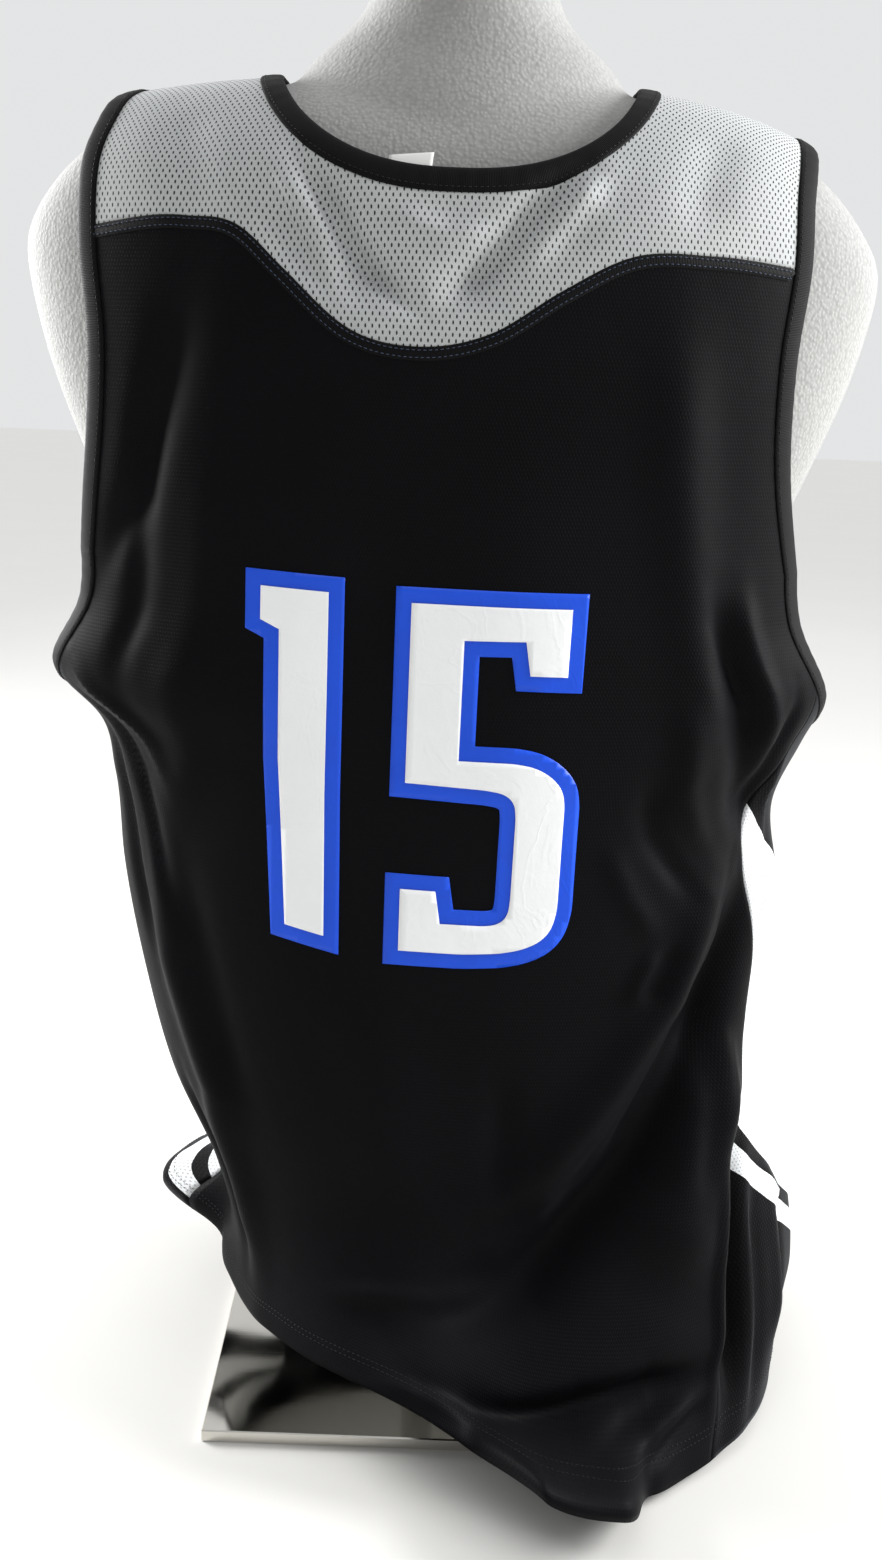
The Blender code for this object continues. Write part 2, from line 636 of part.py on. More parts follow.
def digitFive():
    """Plain block 5 with rounded corners and a square end on its top bar, white face."""
    return [(-0.0010, 0.0010), (0.0640, 0.0020), (0.0770, 0.0050), (0.0880, 0.0100), (0.0950, 0.0180),
            (0.0990, 0.0310), (0.1000, 0.1010), (0.0970, 0.1105), (0.0895, 0.1185), (0.0795, 0.1240),
            (0.0670, 0.1265), (0.0320, 0.1267), (0.0320, 0.2026), (0.0700, 0.2035), (0.0737, 0.1823),
            (0.0970, 0.1820), (0.0975, 0.2242), (-0.0015, 0.2242), (-0.0010, 0.1107), (0.0500, 0.1092),
            (0.0620, 0.1065), (0.0680, 0.1005), (0.0693, 0.0920), (0.0690, 0.0360), (0.0675, 0.0275),
            (0.0625, 0.0225), (0.0550, 0.0200), (0.0250, 0.0200), (0.0213, 0.0412), (-0.0014, 0.0415)]


def grown(outline, width):
    """An outline, counterclockwise, with every side moved out."""
    count = len(outline)
    moved = []
    for k in range(count):
        before = np.subtract(outline[k], outline[k - 1])
        after = np.subtract(outline[(k + 1) % count], outline[k])
        before = before / np.linalg.norm(before)
        after = after / np.linalg.norm(after)
        out = np.array((before[1] + after[1], -before[0] - after[0]))
        moved.append(np.add(outline[k], out * width / (1 + before @ after)))
    return moved


def placed(outline, foot, lean):
    """An outline turned by lean degrees and set with its corner at foot (x, z)."""
    cosine, sine = math.cos(math.radians(lean)), math.sin(math.radians(lean))
    return [(foot[0] + x * cosine - y * sine, foot[1] + x * sine + y * cosine) for x, y in outline]


def inside(point, outline):
    """Whether (x, z) lies within an outline."""
    hit = False
    for k in range(len(outline)):
        (x0, z0), (x1, z1) = outline[k - 1], outline[k]
        if (z0 > point[1]) != (z1 > point[1]):
            if point[0] < x0 + (point[1] - z0) * (x1 - x0) / (z1 - z0):
                hit = not hit
    return hit


def addFilm(name, panel, outline, lift, shade):
    """Film cut to an outline from the panel's own points, then moved out."""
    points, faces = panel
    low = np.min(outline, axis=0)
    high = np.max(outline, axis=0)
    work = bmesh.new()
    made = {}
    for face in faces:
        corners = points[list(face)]
        flat = corners[:, [0, 2]]
        if (flat.max(axis=0) < low).any() or (flat.min(axis=0) > high).any():
            continue
        for k in face:
            if k not in made:
                made[k] = work.verts.new(points[k])
        work.faces.new([made[k] for k in face])
    for k in range(len(outline)):
        (x0, z0), (x1, z1) = outline[k - 1], outline[k]
        everything = list(work.verts) + list(work.edges) + list(work.faces)
        bmesh.ops.bisect_plane(work, geom=everything, dist=0.00005,
                               plane_co=(x0, 0, z0), plane_no=(z1 - z0, 0, x0 - x1))
    outside = []
    for face in work.faces:
        middle = face.calc_center_median()
        if not inside((middle.x, middle.z), outline):
            outside.append(face)
    bmesh.ops.delete(work, geom=outside, context="FACES")
    bmesh.ops.dissolve_limit(work, angle_limit=0.002, verts=work.verts, edges=work.edges)
    bmesh.ops.triangulate(work, faces=work.faces)
    work.verts.ensure_lookup_table()
    base = np.array([v.co[:] for v in work.verts])
    cut = [tuple(v.index for v in face.verts) for face in work.faces]
    work.free()
    out = np.array((0, -1, 0))
    addWall(name, cut, base + out * (lift + FILM), base + out * lift, shade)


def addNumber(panel, white, blue):
    backLift = FILM_GAP
    faceLift = 2 * FILM_GAP + FILM
    for name, outline, foot, lean in (("one", digitOne(), ONE_FOOT, ONE_LEAN),
                                      ("five", digitFive(), FIVE_FOOT, FIVE_LEAN)):
        border = placed(grown(outline, NUMBER_BORDER), foot, lean)
        addFilm("number_" + name + "_outline", panel, border, backLift, blue)
        addFilm("number_" + name + "_face", panel, placed(outline, foot, lean), faceLift, white)


def formFigure(turn, level):
    sizes = {}
    for name in FORM_NAMES[1:]:
        sizes[name] = smooth(FORM_SECTIONS[:, 0], tableColumn(FORM_SECTIONS, FORM_NAMES, name), level)
    toRight = (1 + np.sin(np.radians(turn))) / 2
    drop = sizes["dropLeft"] * (1 - toRight) + sizes["dropRight"] * toRight
    return section(turn, level, sizes["height"], FORM_SHIFT - sizes["half"], FORM_SHIFT + sizes["half"],
                   np.zeros(np.shape(level)), sizes["back"], sizes["front"], drop)


def addForm(shade):
    """Torso with rounded shoulder stumps, and a neck joined to it by a union."""
    levels = FORM_BOTTOM + (RIDGE - FORM_BOTTOM) * np.linspace(0, 1, FORM_ROWS) ** 0.9
    work = bmesh.new()
    rings = []
    for level in levels:
        turns = np.arange(FORM_AROUND) * 360 / FORM_AROUND
        points = formFigure(turns, np.full(FORM_AROUND, level))
        rings.append([work.verts.new(p) for p in points])
    for lower, upper in zip(rings, rings[1:]):
        for k in range(FORM_AROUND):
            following = (k + 1) % FORM_AROUND
            work.faces.new((lower[k], lower[following], upper[following], upper[k]))
    work.faces.new(rings[0][::-1])
    bmesh.ops.remove_doubles(work, verts=work.verts, dist=0.00002)
    bmesh.ops.recalc_face_normals(work, faces=work.faces)
    mesh = bpy.data.meshes.new("dress_form")
    work.to_mesh(mesh)
    work.free()
    torso = addObject("dress_form", mesh, shade)

    work = bmesh.new()
    rings = []
    for height, half, deep in FORM_NECK:
        bend = np.radians(np.arange(NECK_AROUND) * 360 / NECK_AROUND)
        ring = [(NECK_SHIFT + half * math.cos(b), deep * math.sin(b), height) for b in bend]
        rings.append([work.verts.new(p) for p in ring])
    for lower, upper in zip(rings, rings[1:]):
        for k in range(NECK_AROUND):
            following = (k + 1) % NECK_AROUND
            work.faces.new((lower[k], lower[following], upper[following], upper[k]))
    work.faces.new(rings[0][::-1])
    work.faces.new(rings[-1])
    bmesh.ops.recalc_face_normals(work, faces=work.faces)
    mesh = bpy.data.meshes.new("neck_guide")
    work.to_mesh(mesh)
    work.free()
    neck = addObject("neck_guide", mesh, shade)
    neck.hide_render = True
    neck.display_type = "WIRE"

    union = torso.modifiers.new("neck", "BOOLEAN")
    union.operation = "UNION"
    union.solver = "EXACT"
    union.object = neck
    torso.data.shade_smooth()


def addPost(shade):
    """Post with its foot, turned from one profile."""
    foot = PLATE_SIZE[2] + 0.0003
    head = FORM_BOTTOM - 0.0003
    profile = [
        (0, foot), (FLANGE_RADIUS, foot), (FLANGE_RADIUS, foot + FLANGE_HEIGHT * 0.7),
        (FLANGE_RADIUS * 0.93, foot + FLANGE_HEIGHT), (POST_RADIUS * 1.15, foot + FLANGE_HEIGHT),
        (POST_RADIUS, foot + FLANGE_HEIGHT * 1.3), (POST_RADIUS, head), (0, head),
    ]
    work = bmesh.new()
    verts = [work.verts.new((radius, 0, z)) for radius, z in profile]
    edges = [work.edges.new(pair) for pair in zip(verts, verts[1:])]
    bmesh.ops.spin(work, geom=verts + edges, axis=(0, 0, 1), cent=(0, 0, 0), steps=32,
                   angle=math.tau, use_merge=True)
    bmesh.ops.remove_doubles(work, verts=work.verts, dist=0.00001)
    bmesh.ops.recalc_face_normals(work, faces=work.faces)
    mesh = bpy.data.meshes.new("stand_post")
    work.to_mesh(mesh)
    work.free()
    mesh.shade_smooth()
    mesh.set_sharp_from_angle(angle=math.radians(40))
    addObject("stand_post", mesh, shade)


def addPlate(shade):
    work = bmesh.new()
    bmesh.ops.create_cube(work, size=1)
    bmesh.ops.scale(work, verts=work.verts, vec=PLATE_SIZE)
    bmesh.ops.translate(work, verts=work.verts, vec=(0, 0, PLATE_SIZE[2] / 2))
    mesh = bpy.data.meshes.new("base_plate")
    work.to_mesh(mesh)
    work.free()
    plate = addObject("base_plate", mesh, shade)
    bevel = plate.modifiers.new("worn edge", "BEVEL")
    bevel.width = PLATE_BEVEL
    bevel.segments = 1
    bevel.limit_method = "ANGLE"


def addTag(shade):
    """Size label, sewn behind the neck binding and standing a little above it."""
    turns = turnAt(np.array([TAG_MIDDLE - TAG_WIDTH / 2, TAG_MIDDLE + TAG_WIDTH / 2]), np.full(2, NECK_BACK))
    rows = []
    for up in np.linspace(0, 1, 4):
        level = NECK_BACK - TAG_HIDDEN + up * TAG_HEIGHT
        row = [(turn, level + TAG_SLANT * (share - 0.5))
               for turn, share in zip(np.linspace(*turns, 5), np.linspace(0, 1, 5))]
        rows.append(row)
    grid = np.array(rows)
    outer = cloth(grid, TAG_LIFT).reshape(-1, 3)
    inner = cloth(grid, TAG_LIFT - TAG_WALL).reshape(-1, 3)
    addWall("size_tag", gridFaces(*grid.shape[:2]), outer, inner, shade)


def main():
    clearScene()
    blackKnit = material("black_knit", (0.012, 0.013, 0.015), 0.75)
    blackTape = material("black_binding", (0.012, 0.012, 0.014), 0.8)
    greyMesh = material("grey_mesh", (0.50, 0.52, 0.52), 0.7)
    whiteKnit = material("white_knit", (0.80, 0.81, 0.82), 0.7)
    whiteFilm = material("white_film", (0.72, 0.73, 0.75), 0.45)
    blueFilm = material("blue_film", (0.012, 0.075, 0.62), 0.4)
    whiteLabel = material("white_label", (0.80, 0.80, 0.79), 0.8)
    formCover = material("form_cover", (0.62, 0.62, 0.61), 0.9)
    mirror = material("mirror_steel", (0.75, 0.74, 0.72), 0.05, 1.0)

    paths = patternPaths()
    panel = addPanel("back_panel", backGrid(paths), blackKnit)
    addPanel("back_yoke", yokeGrid(paths), greyMesh)
    addPanel("front_panel", frontGrid(paths), blackKnit)
    addPanel("side_panel_left", sideGrid(paths, "Left"), whiteKnit)
    addPanel("side_panel_right", sideGrid(paths, "Right"), whiteKnit)
    for side in ("Left", "Right"):
        name = "armhole_binding_" + side.lower()
        addBinding(name, paths["armhole" + side][:-1], paths["armholeSeam" + side][:-1], blackTape)
    neck = np.concatenate([paths["neckBack"][:-1], paths["neckFront"][:-1]])
    neckSeam = np.concatenate([paths["neckBackSeam"][:-1], paths["neckFrontSeam"][:-1]])
    addBinding("neck_binding", neck, neckSeam, blackTape)
    addNumber(panel, whiteFilm, blueFilm)
    addTag(whiteLabel)
    addForm(formCover)
    addPost(mirror)
    addPlate(mirror)


main()
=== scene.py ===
import math

import bmesh
import bpy
import numpy as np
from mathutils import Matrix, Vector
from mathutils.bvhtree import BVHTree


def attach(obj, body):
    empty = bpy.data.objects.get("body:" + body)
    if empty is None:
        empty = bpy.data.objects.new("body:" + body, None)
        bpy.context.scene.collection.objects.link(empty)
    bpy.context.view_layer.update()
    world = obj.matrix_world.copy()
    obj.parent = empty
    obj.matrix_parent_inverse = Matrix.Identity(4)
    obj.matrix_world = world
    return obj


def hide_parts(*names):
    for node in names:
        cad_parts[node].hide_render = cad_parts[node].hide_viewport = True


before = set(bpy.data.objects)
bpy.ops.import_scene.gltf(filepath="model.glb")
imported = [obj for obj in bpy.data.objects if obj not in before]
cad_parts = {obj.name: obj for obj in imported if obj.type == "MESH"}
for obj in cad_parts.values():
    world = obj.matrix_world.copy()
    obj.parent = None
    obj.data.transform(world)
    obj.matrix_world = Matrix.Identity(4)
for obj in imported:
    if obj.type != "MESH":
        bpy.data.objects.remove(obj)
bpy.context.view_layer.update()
print("frame loaded")

# Addresses on the jersey: turn is the degrees round it from the middle of the back (90 at
# the right side, 180 at the front), and level is the metres up the cloth from the hem.

drape = {
    "ridge": 0.970,       # level of the shoulder seam
    "squareness": 2.3,    # 2 is an ellipse
    "hemFade": 0.34,      # the hem's slant dies out here
    "wall": 0.0009,
    "names": ("level", "height", "left", "right", "side", "back", "front", "dropLeft", "dropRight"),
    # one row a level, in millimetres
    "rows": np.array([
        (0, 12, -140, 262, -40, -232, 115, 0, 0),
        (60, 70, -144, 268, -30, -200, 120, 0, 0),
        (120, 128, -160, 262, -15, -176, 125, 0, 0),
        (200, 206, -193, 250, 0, -160, 128, 0, 0),
        (280, 285, -212, 243, 0, -148, 128, 0, 0),
        (360, 364, -226, 245, 0, -140, 128, 0, 0),
        (430, 432, -232, 237, 0, -135, 130, 0, 0),
        (470, 471, -242, 253, 0, -133, 131, 0, 0),
        (500, 500, -270, 266, 0, -131, 132, 0, 0),
        (560, 560, -262, 252, 0, -129, 133, 0, 0),
        (640, 640, -268, 249, 0, -128, 132, 0, 0),
        (720, 720, -273, 254, 0, -127, 128, 0, 0),
        (780, 780, -277, 258, 0, -122, 120, 2, 8),
        (830, 828, -274, 256, 0, -111, 107, 10, 34),
        (870, 857, -267, 258, 0, -91, 88, 22, 64),
        (900, 874, -262, 260, 0, -70, 68, 30, 82),
        (930, 884, -257, 261, 0, -42, 41, 36, 90),
        (970, 888, -253, 260, 0, 0, 0, 38, 92),
    ]) / 1000,
    # turn, rise of the hem from its section's height in millimetres
    "hemRise": np.array([
        (-180, 62), (-130, 88), (-106, 99), (-97, 100), (-90, 84), (-83, 66), (-72, 62), (-45, 68),
        (-18, 54), (2, 8), (18, -5), (50, 0), (85, 10), (110, 36), (150, 58),
    ]) / (1, 1000),
}

# One row a fold: its line as points of (turn, level), its half-width and its depth (out is
# positive), all lengths in millimetres, and where one flank is narrower a skew
folds = {
    "scale": 0.0037,      # metres of cloth to a degree of turn
    "taper": 0.3,         # share of a fold's length over which each end dies out
    "endShare": 0.15,     # share of its depth left at the very end
    "reach": 0.004,       # half the span over which the figure's normal is taken
    "fineReach": 0.002,   # the same on the folded cloth
    "main": [
        (((57, 430), (45, 293), (28, 200), (4, 118), (-24, 48)), 21, -28),    # swag
        (((58, 425), (46, 372), (38, 305), (26, 245), (12, 192), (-8, 150)), 17, 13),
        (((50, 280), (41, 180), (30, 100)), 34, 17),    # full lower right
        (((53, 215), (50, 160), (48, 95), (45, 10)), 12, -20),    # behind its edge
        (((66, 430), (68, 330), (62, 230)), 14, -10),
        (((-16, 18), (0, 32), (13, 48), (26, 58), (42, 54)), 12, -19),    # tuck
        (((-9, 4), (10, 4), (26, 8)), 22, 65),    # hem pushed out
        (((92, 150), (92, 90), (90, 10)), 40, 12),    # right side, above the hem
        (((-124, 0), (-103, 4), (-84, 0)), 42, 66),    # flap at the left hem
        (((-31, 740), (-34, 624), (-38, 520), (-50, 380)), 16, 6),    # left blade
        (((-33, 760), (-38, 690), (-44, 630), (-56, 570)), 12, -6),
        (((-52, 420), (-52, 310), (-47, 212), (-55, 90), (-55, 10)), 16, 8),
        (((30, 770), (34, 648), (38, 520), (40, 440)), 18, 6),    # right blade
        (((40, 560), (44, 500), (51, 455), (58, 410)), 13, -9),    # to the right waist
        (((8, 265), (6, 215), (3, 165)), 10, -4),
        (((-22, 815), (-17, 780), (-6, 742)), 13, -8),    # cowl of the yoke
        (((19, 810), (11, 780), (-2, 742)), 15, -7),
        (((160, 640), (150, 400), (154, 60)), 30, 14),    # front
        (((-158, 640), (-150, 380), (-146, 60)), 32, 14),
        (((180, 560), (176, 300), (178, 40)), 34, -12),
        (((130, 420), (136, 250), (132, 40)), 22, -14),
        (((-134, 430), (-136, 270), (-134, 60)), 20, -12),
    ],
    "small": [
        # lip of the swag, and the second roll inside it
        (((56, 405), (47, 350), (42, 298), (31, 240), (20, 188), (8, 162)), 8, 7, 0.5),
        (((54, 385), (47, 318), (41, 268), (31, 215), (21, 170)), 6, 4),
        (((52, 380), (46, 325), (38, 272), (28, 222), (16, 178)), 6, -5),
        (((2, 116), (-14, 86), (-36, 60)), 8, 4),
        (((38, 350), (35, 325), (32, 302)), 7, -4),
        (((34, 345), (31, 322), (29, 304)), 6, 4),
        (((14, 185), (11, 166), (10, 150)), 8, 3),    # fold edge at the lower right, and the cloth behind it
        (((46, 200), (43, 140), (42, 80), (40, 30)), 7, 6, 0.4),
        (((58, 170), (57, 110), (55, 50), (54, 6)), 8, -6, 0.3),
        (((66, 150), (66, 90), (63, 30)), 10, 5),
        (((76, 150), (74, 85), (72, 10)), 9, -6, 0.2),
        (((60, 165), (70, 135), (80, 120)), 10, 5),    # tuck and creases above the hem
        (((-10, 30), (6, 52), (20, 66), (38, 68)), 7, 4, 0.4),
        (((12, 22), (22, 40), (32, 50)), 5, -5),
        (((18, 16), (28, 36), (37, 46)), 5, 4),
        (((24, 14), (33, 30), (41, 40)), 5, -5),
        (((-24, 10), (-14, 16), (-4, 22)), 6, 5),
        (((4, 12), (14, 22), (24, 26)), 5, -3),    # left blade and left edge
        (((-31, 740), (-34, 640), (-38, 540), (-46, 430)), 14, -4),
        (((-38, 740), (-42, 660), (-46, 560), (-50, 470)), 10, -4),
        (((-46, 400), (-43, 300), (-40, 200)), 12, -4),
        (((-66, 500), (-56, 440), (-48, 340)), 7, -5, 0.3),
        (((-62, 520), (-54, 490), (-46, 430)), 6, 4),
        (((-70, 480), (-64, 400), (-58, 300)), 9, -5),
        (((-60, 220), (-62, 130), (-61, 40)), 9, -5),    # right blade and waist
        (((40, 585), (43, 535), (50, 470)), 8, -6, 0.2),
        (((46, 590), (48, 530), (54, 460)), 9, 5),
        (((58, 520), (57, 470), (58, 410)), 7, -5),
        (((33, 520), (38, 450), (47, 400)), 9, 4),
        (((30, 470), (34, 420), (42, 372)), 8, -4),
        (((26, 420), (29, 380), (34, 345)), 8, 3),
        (((62, 470), (64, 430), (70, 390)), 6, 4),
        (((52, 290), (50, 240), (46, 190)), 9, 4),
        (((47, 270), (43, 215), (39, 160)), 8, -4),    # wide, faint ones down the back
        (((8, 700), (12, 560), (10, 380)), 30, 2),
        (((-14, 330), (-12, 240), (-18, 150)), 26, 3),
        (((-10, 680), (-8, 500), (-12, 330)), 30, -2),    # cowl of the yoke
        (((-22, 824), (-18.5, 800), (-15.5, 775), (-12.5, 748)), 7, 7, 0.3),
        (((-19, 832), (-15.6, 808), (-12.6, 786), (-9, 763), (-3, 741)), 6.5, -12, 0.3),
        (((20, 828), (16, 806), (12.6, 786), (8, 762)), 8, 6),
        (((17, 830), (11.7, 804), (8, 784), (4.5, 765), (0, 745)), 7, -9),
        (((-8, 800), (0, 784), (7, 790)), 8, 4),
        (((-38, 880), (-34, 830), (-32, 780)), 14, -3),
        (((36, 880), (34, 830), (32, 790)), 14, -3),    # left side
        (((-112, 300), (-108, 160), (-104, 30)), 10, -6, 0.2),
        (((-100, 330), (-98, 200), (-94, 70)), 11, 6),
        (((-92, 480), (-88, 420), (-84, 350)), 8, -4),
        (((-104, 480), (-108, 420), (-112, 350)), 8, 4),    # right side
        (((88, 470), (86, 400), (84, 320)), 8, -5),
        (((98, 470), (102, 400), (100, 300)), 9, 5),
        (((96, 300), (94, 200), (96, 100)), 9, -5, 0.2),
        (((106, 240), (108, 140), (106, 30)), 10, 6),    # front
        (((120, 500), (126, 440), (136, 360)), 8, -5, 0.3),
        (((112, 520), (120, 480), (130, 430)), 7, 4),
        (((-118, 500), (-126, 440), (-136, 350)), 8, -5, 0.3),
        (((-112, 530), (-120, 490), (-130, 440)), 7, 3),
        (((146, 720), (150, 600), (148, 470)), 18, 5),
        (((-146, 720), (-150, 600), (-148, 470)), 18, 5),
        (((170, 500), (166, 330), (168, 120)), 12, 6, 0.3),
        (((-168, 480), (-166, 320), (-170, 100)), 12, 6, -0.3),
        (((142, 340), (146, 200), (142, 50)), 9, 6),
        (((-142, 360), (-144, 220), (-142, 60)), 9, 6),
        (((158, 260), (160, 150), (158, 20)), 10, -5, 0.2),
        (((-156, 260), (-158, 150), (-156, 20)), 10, -5),
        (((120, 200), (122, 110), (120, 10)), 11, -6),
        (((-124, 240), (-122, 150), (-120, 80)), 10, 4),
        (((164, 735), (172, 712), (180, 706)), 12, -4),
        (((-164, 735), (-172, 714), (-180, 706)), 12, -4),
    ],
}


def smooth(places, values, at):
    # a smooth curve through the rows of a table
    places, values, at = np.asarray(places, float), np.asarray(values, float), np.asarray(at, float)
    slopes = np.gradient(values, places)
    row = np.clip(np.searchsorted(places, at) - 1, 0, len(places) - 2)
    span = places[row + 1] - places[row]
    t = (at - places[row]) / span
    start = (1 + 2 * t) * (1 - t) ** 2 * values[row] + t * (1 - t) ** 2 * span * slopes[row]
    return start + t * t * (3 - 2 * t) * values[row + 1] + t * t * (t - 1) * span * slopes[row + 1]


def joined(*columns):
    return np.stack(columns, axis=-1)


def lengthAlong(points):
    return np.concatenate([[0], np.cumsum(np.linalg.norm(np.diff(points, axis=0), axis=-1))])


def sampled(at, places, rows):
    return joined(*(np.interp(at, places, column) for column in rows.T))


def wrapped(turn):
    return (turn + 180) % 360 - 180


def ramp(value):
    value = np.clip(value, 0, 1)
    return value * value * (3 - 2 * value)


def overRidge(turn, level):
    # past the shoulder seam the back's cloth runs on as the front's
    past = level > drape["ridge"]
    return np.where(past, 180 - turn, turn), np.where(past, 2 * drape["ridge"] - level, level)


def section(turn, height, left, right, side, back, front, drop):
    # a point of a rounded-square ring
    sine, cosine = np.sin(np.radians(turn)), np.cos(np.radians(turn))
    power = drape["squareness"]
    swell = (np.abs(sine) ** power + np.abs(cosine) ** power) ** (-1 / power)
    x = (left + right) / 2 + (right - left) / 2 * sine * swell
    y = side + (np.where(cosine > 0, back, front) - side) * np.abs(cosine) * swell
    return joined(x, y, height - drop * (1 - np.abs(cosine) * swell))


def sectionSizes(figure, level):
    table = figure["rows"]
    return {name: smooth(table[:, 0], table[:, k], level) for k, name in enumerate(figure["names"]) if k}


def shoulderDrop(turn, sizes):
    toRight = (1 + np.sin(np.radians(turn))) / 2
    return sizes["dropLeft"] * (1 - toRight) + sizes["dropRight"] * toRight


def figurePoint(turn, level):
    turn, level = overRidge(turn, level)
    sizes = sectionSizes(drape, level)
    rise = np.concatenate([drape["hemRise"] + (around, 0) for around in (-360, 0, 360)])
    fade = np.clip(1 - level / drape["hemFade"], 0, None) ** 2
    height = sizes["height"] + smooth(*rise.T, wrapped(turn)) * fade
    return section(turn, height, sizes["left"], sizes["right"], sizes["side"], sizes["back"],
                   sizes["front"], shoulderDrop(turn, sizes))


def normalOf(surface, turn, level, reach):
    degrees = reach / folds["scale"]
    along = surface(turn + degrees, level) - surface(turn - degrees, level)
    normal = np.cross(along, surface(turn, level + reach) - surface(turn, level - reach))
    return normal / np.linalg.norm(normal, axis=-1, keepdims=True)


def foldDepth(turn, level):
    turn, level = overRidge(turn, level)
    total, scale = np.zeros(np.broadcast(turn, level).shape), folds["scale"]
    for line, width, depth, *skew in folds["main"] + folds["small"]:
        width, depth, skew = width / 1000, depth / 1000, sum(skew)
        middle = line[len(line) // 2][0]
        x = wrapped(turn - middle) * scale
        points = [np.array(((end[0] - middle) * scale, end[1] / 1000)) for end in line]
        places = np.cumsum([0] + [np.linalg.norm(b - a) for a, b in zip(points, points[1:])])
        nearest, place, flank = np.full(total.shape, 9.0), np.zeros(total.shape), np.zeros(total.shape)
        for k in range(len(points) - 1):
            run, long = points[k + 1] - points[k], places[k + 1] - places[k]
            dx, dy = x - points[k][0], level - points[k][1]
            t = np.clip((dx * run[0] + dy * run[1]) / long ** 2, 0, 1)
            gap = np.hypot(dx - t * run[0], dy - t * run[1])
            closer = gap < nearest
            place = np.where(closer, (places[k] + t * long) / places[-1], place)
            flank = np.where(closer, (run[0] * dy - run[1] * dx) / long / width, flank)
            nearest = np.minimum(gap, nearest)
        taper = ramp(place / folds["taper"]) * ramp((1 - place) / folds["taper"])
        share = folds["endShare"] + (1 - folds["endShare"]) * taper
        total = total + depth * share * np.exp(-(nearest / (width * (1 + skew * np.tanh(flank)))) ** 2)
    return total


def foldedPoint(turn, level):
    out = normalOf(figurePoint, turn, level, folds["reach"])
    return figurePoint(turn, level) + out * foldDepth(turn, level)[..., None]


def clothPoint(path, lift=0.0):
    # points on the draped cloth, moved out by lift
    point = foldedPoint(path[..., 0], path[..., 1])
    if np.any(lift):
        point = point + clothNormal(path) * np.asarray(lift)[..., None]
    return point


def clothNormal(path):
    return normalOf(foldedPoint, path[..., 0], path[..., 1], folds["fineReach"])


# The cut: edges and seams as rows of (turn, level), from the jersey's own pattern
pattern = {
    "bindingWidth": 0.013,
    "neckMiddle": -0.004,
    "neckHalfWidth": 0.111,
    "neckBack": 0.824,
    "neckFront": 0.770,
    "neckPowerWide": 0.80,   # 1 and 1 make an ellipse, less is squarer
    "neckPowerDeep": 0.68,
    "armpits": {-1: 0.497, 1: 0.487},
    "armholeMiddle": 91.0,
    "armholeX": 0.222,
    # level, back turn and front turn of the armhole above its U
    "armholes": np.array([
        (0.590, 62, 118), (0.640, 57, 123), (0.720, 53, 127), (0.780, 53.5, 126.5),
        (0.830, 54, 126), (0.900, 54, 126), (0.970, 54, 126),
    ]),
    # level and turns of the four side seams
    "sideSeams": {
        "level": (0.000, 0.060, 0.120, 0.200, 0.300, 0.390),
        "backLeft": (-90, -91, -93, -95, -95, -93),
        "frontLeft": (-126, -124, -122, -119, -114, -108),
        "backRight": (41, 42, 44, 51, 60, 57),
        "frontRight": (100, 100, 101, 102, 103, 103),
    },
    # x and level in millimetres
    "yokeSeam": np.array([
        (-230, 787), (-165, 793), (-131, 787), (-105, 764), (-65, 731),
        (-22, 722), (20, 731), (60, 756), (100, 777), (150, 781), (220, 777),
    ]) / 1000,
    "chestLevel": 0.700,   # the front's rows fan out from here
    "strapShare": 0.075,   # share of the width that each strap takes
    "search": (89.0, 24),  # farthest turn that is looked at for an x, and halvings of the range
    "seamPasses": 8,       # rounds in which the yoke seam settles on its x
    "bendPoints": 61, "upperPoints": 120, "neckPoints": 241,
    "corner": 31,          # points from the armpit to the corner of the side panel
}


def turnAt(x, level):
    farthest, halvings = pattern["search"]
    low, high = np.full(np.shape(x), -farthest), np.full(np.shape(x), farthest)
    for step in range(halvings):
        middle = (low + high) / 2
        right = figurePoint(middle, level)[..., 0] > x
        high, low = np.where(right, middle, high), np.where(right, low, middle)
    return (low + high) / 2


def resample(path, count):
    places = lengthAlong(figurePoint(*path.T))
    return sampled(np.linspace(0, 1, count + 1) * places[-1], places, path)


def inset(path, distance):
    # moved sideways along the cloth, to the left of its direction if positive
    (turn, level), step = path.T, 0.002
    wide = np.linalg.norm(figurePoint(turn + 0.5, level) - figurePoint(turn - 0.5, level), axis=-1)
    rise = figurePoint(turn, level + step) - figurePoint(turn, level - step)
    tall = np.linalg.norm(rise, axis=-1) / (2 * step)
    along, up = np.gradient(turn) * wide, np.gradient(level) * tall
    size = np.hypot(along, up)
    moved = joined(turn - distance * up / size / wide, level + distance * along / size / tall)
    moved[:, 1] = np.minimum(moved[:, 1], drape["ridge"])
    return moved


def armholeEdge(sign):
    # free edge from the ridge down the back, round the U and up the front, in growing turn
    table, ridge, armpit = pattern["armholes"], drape["ridge"], pattern["armpits"][sign]
    bend = np.radians(np.linspace(90, 0, pattern["bendPoints"]))
    levels = np.linspace(ridge, table[0, 0], pattern["upperPoints"])
    rise = table[0, 0] - armpit
    halves = []
    for column in (1, 2):
        upper = joined(smooth(table[:, 0], table[:, column], levels), levels)
        turns = pattern["armholeMiddle"] + (table[0, column] - pattern["armholeMiddle"]) * np.sin(bend)
        halves.append(np.concatenate([upper[:-1], joined(turns, armpit + rise * (1 - np.cos(bend)))]))
    path = np.concatenate([halves[0], halves[1][-2::-1]])
    return path if sign > 0 else path[::-1] * (-1, 1)


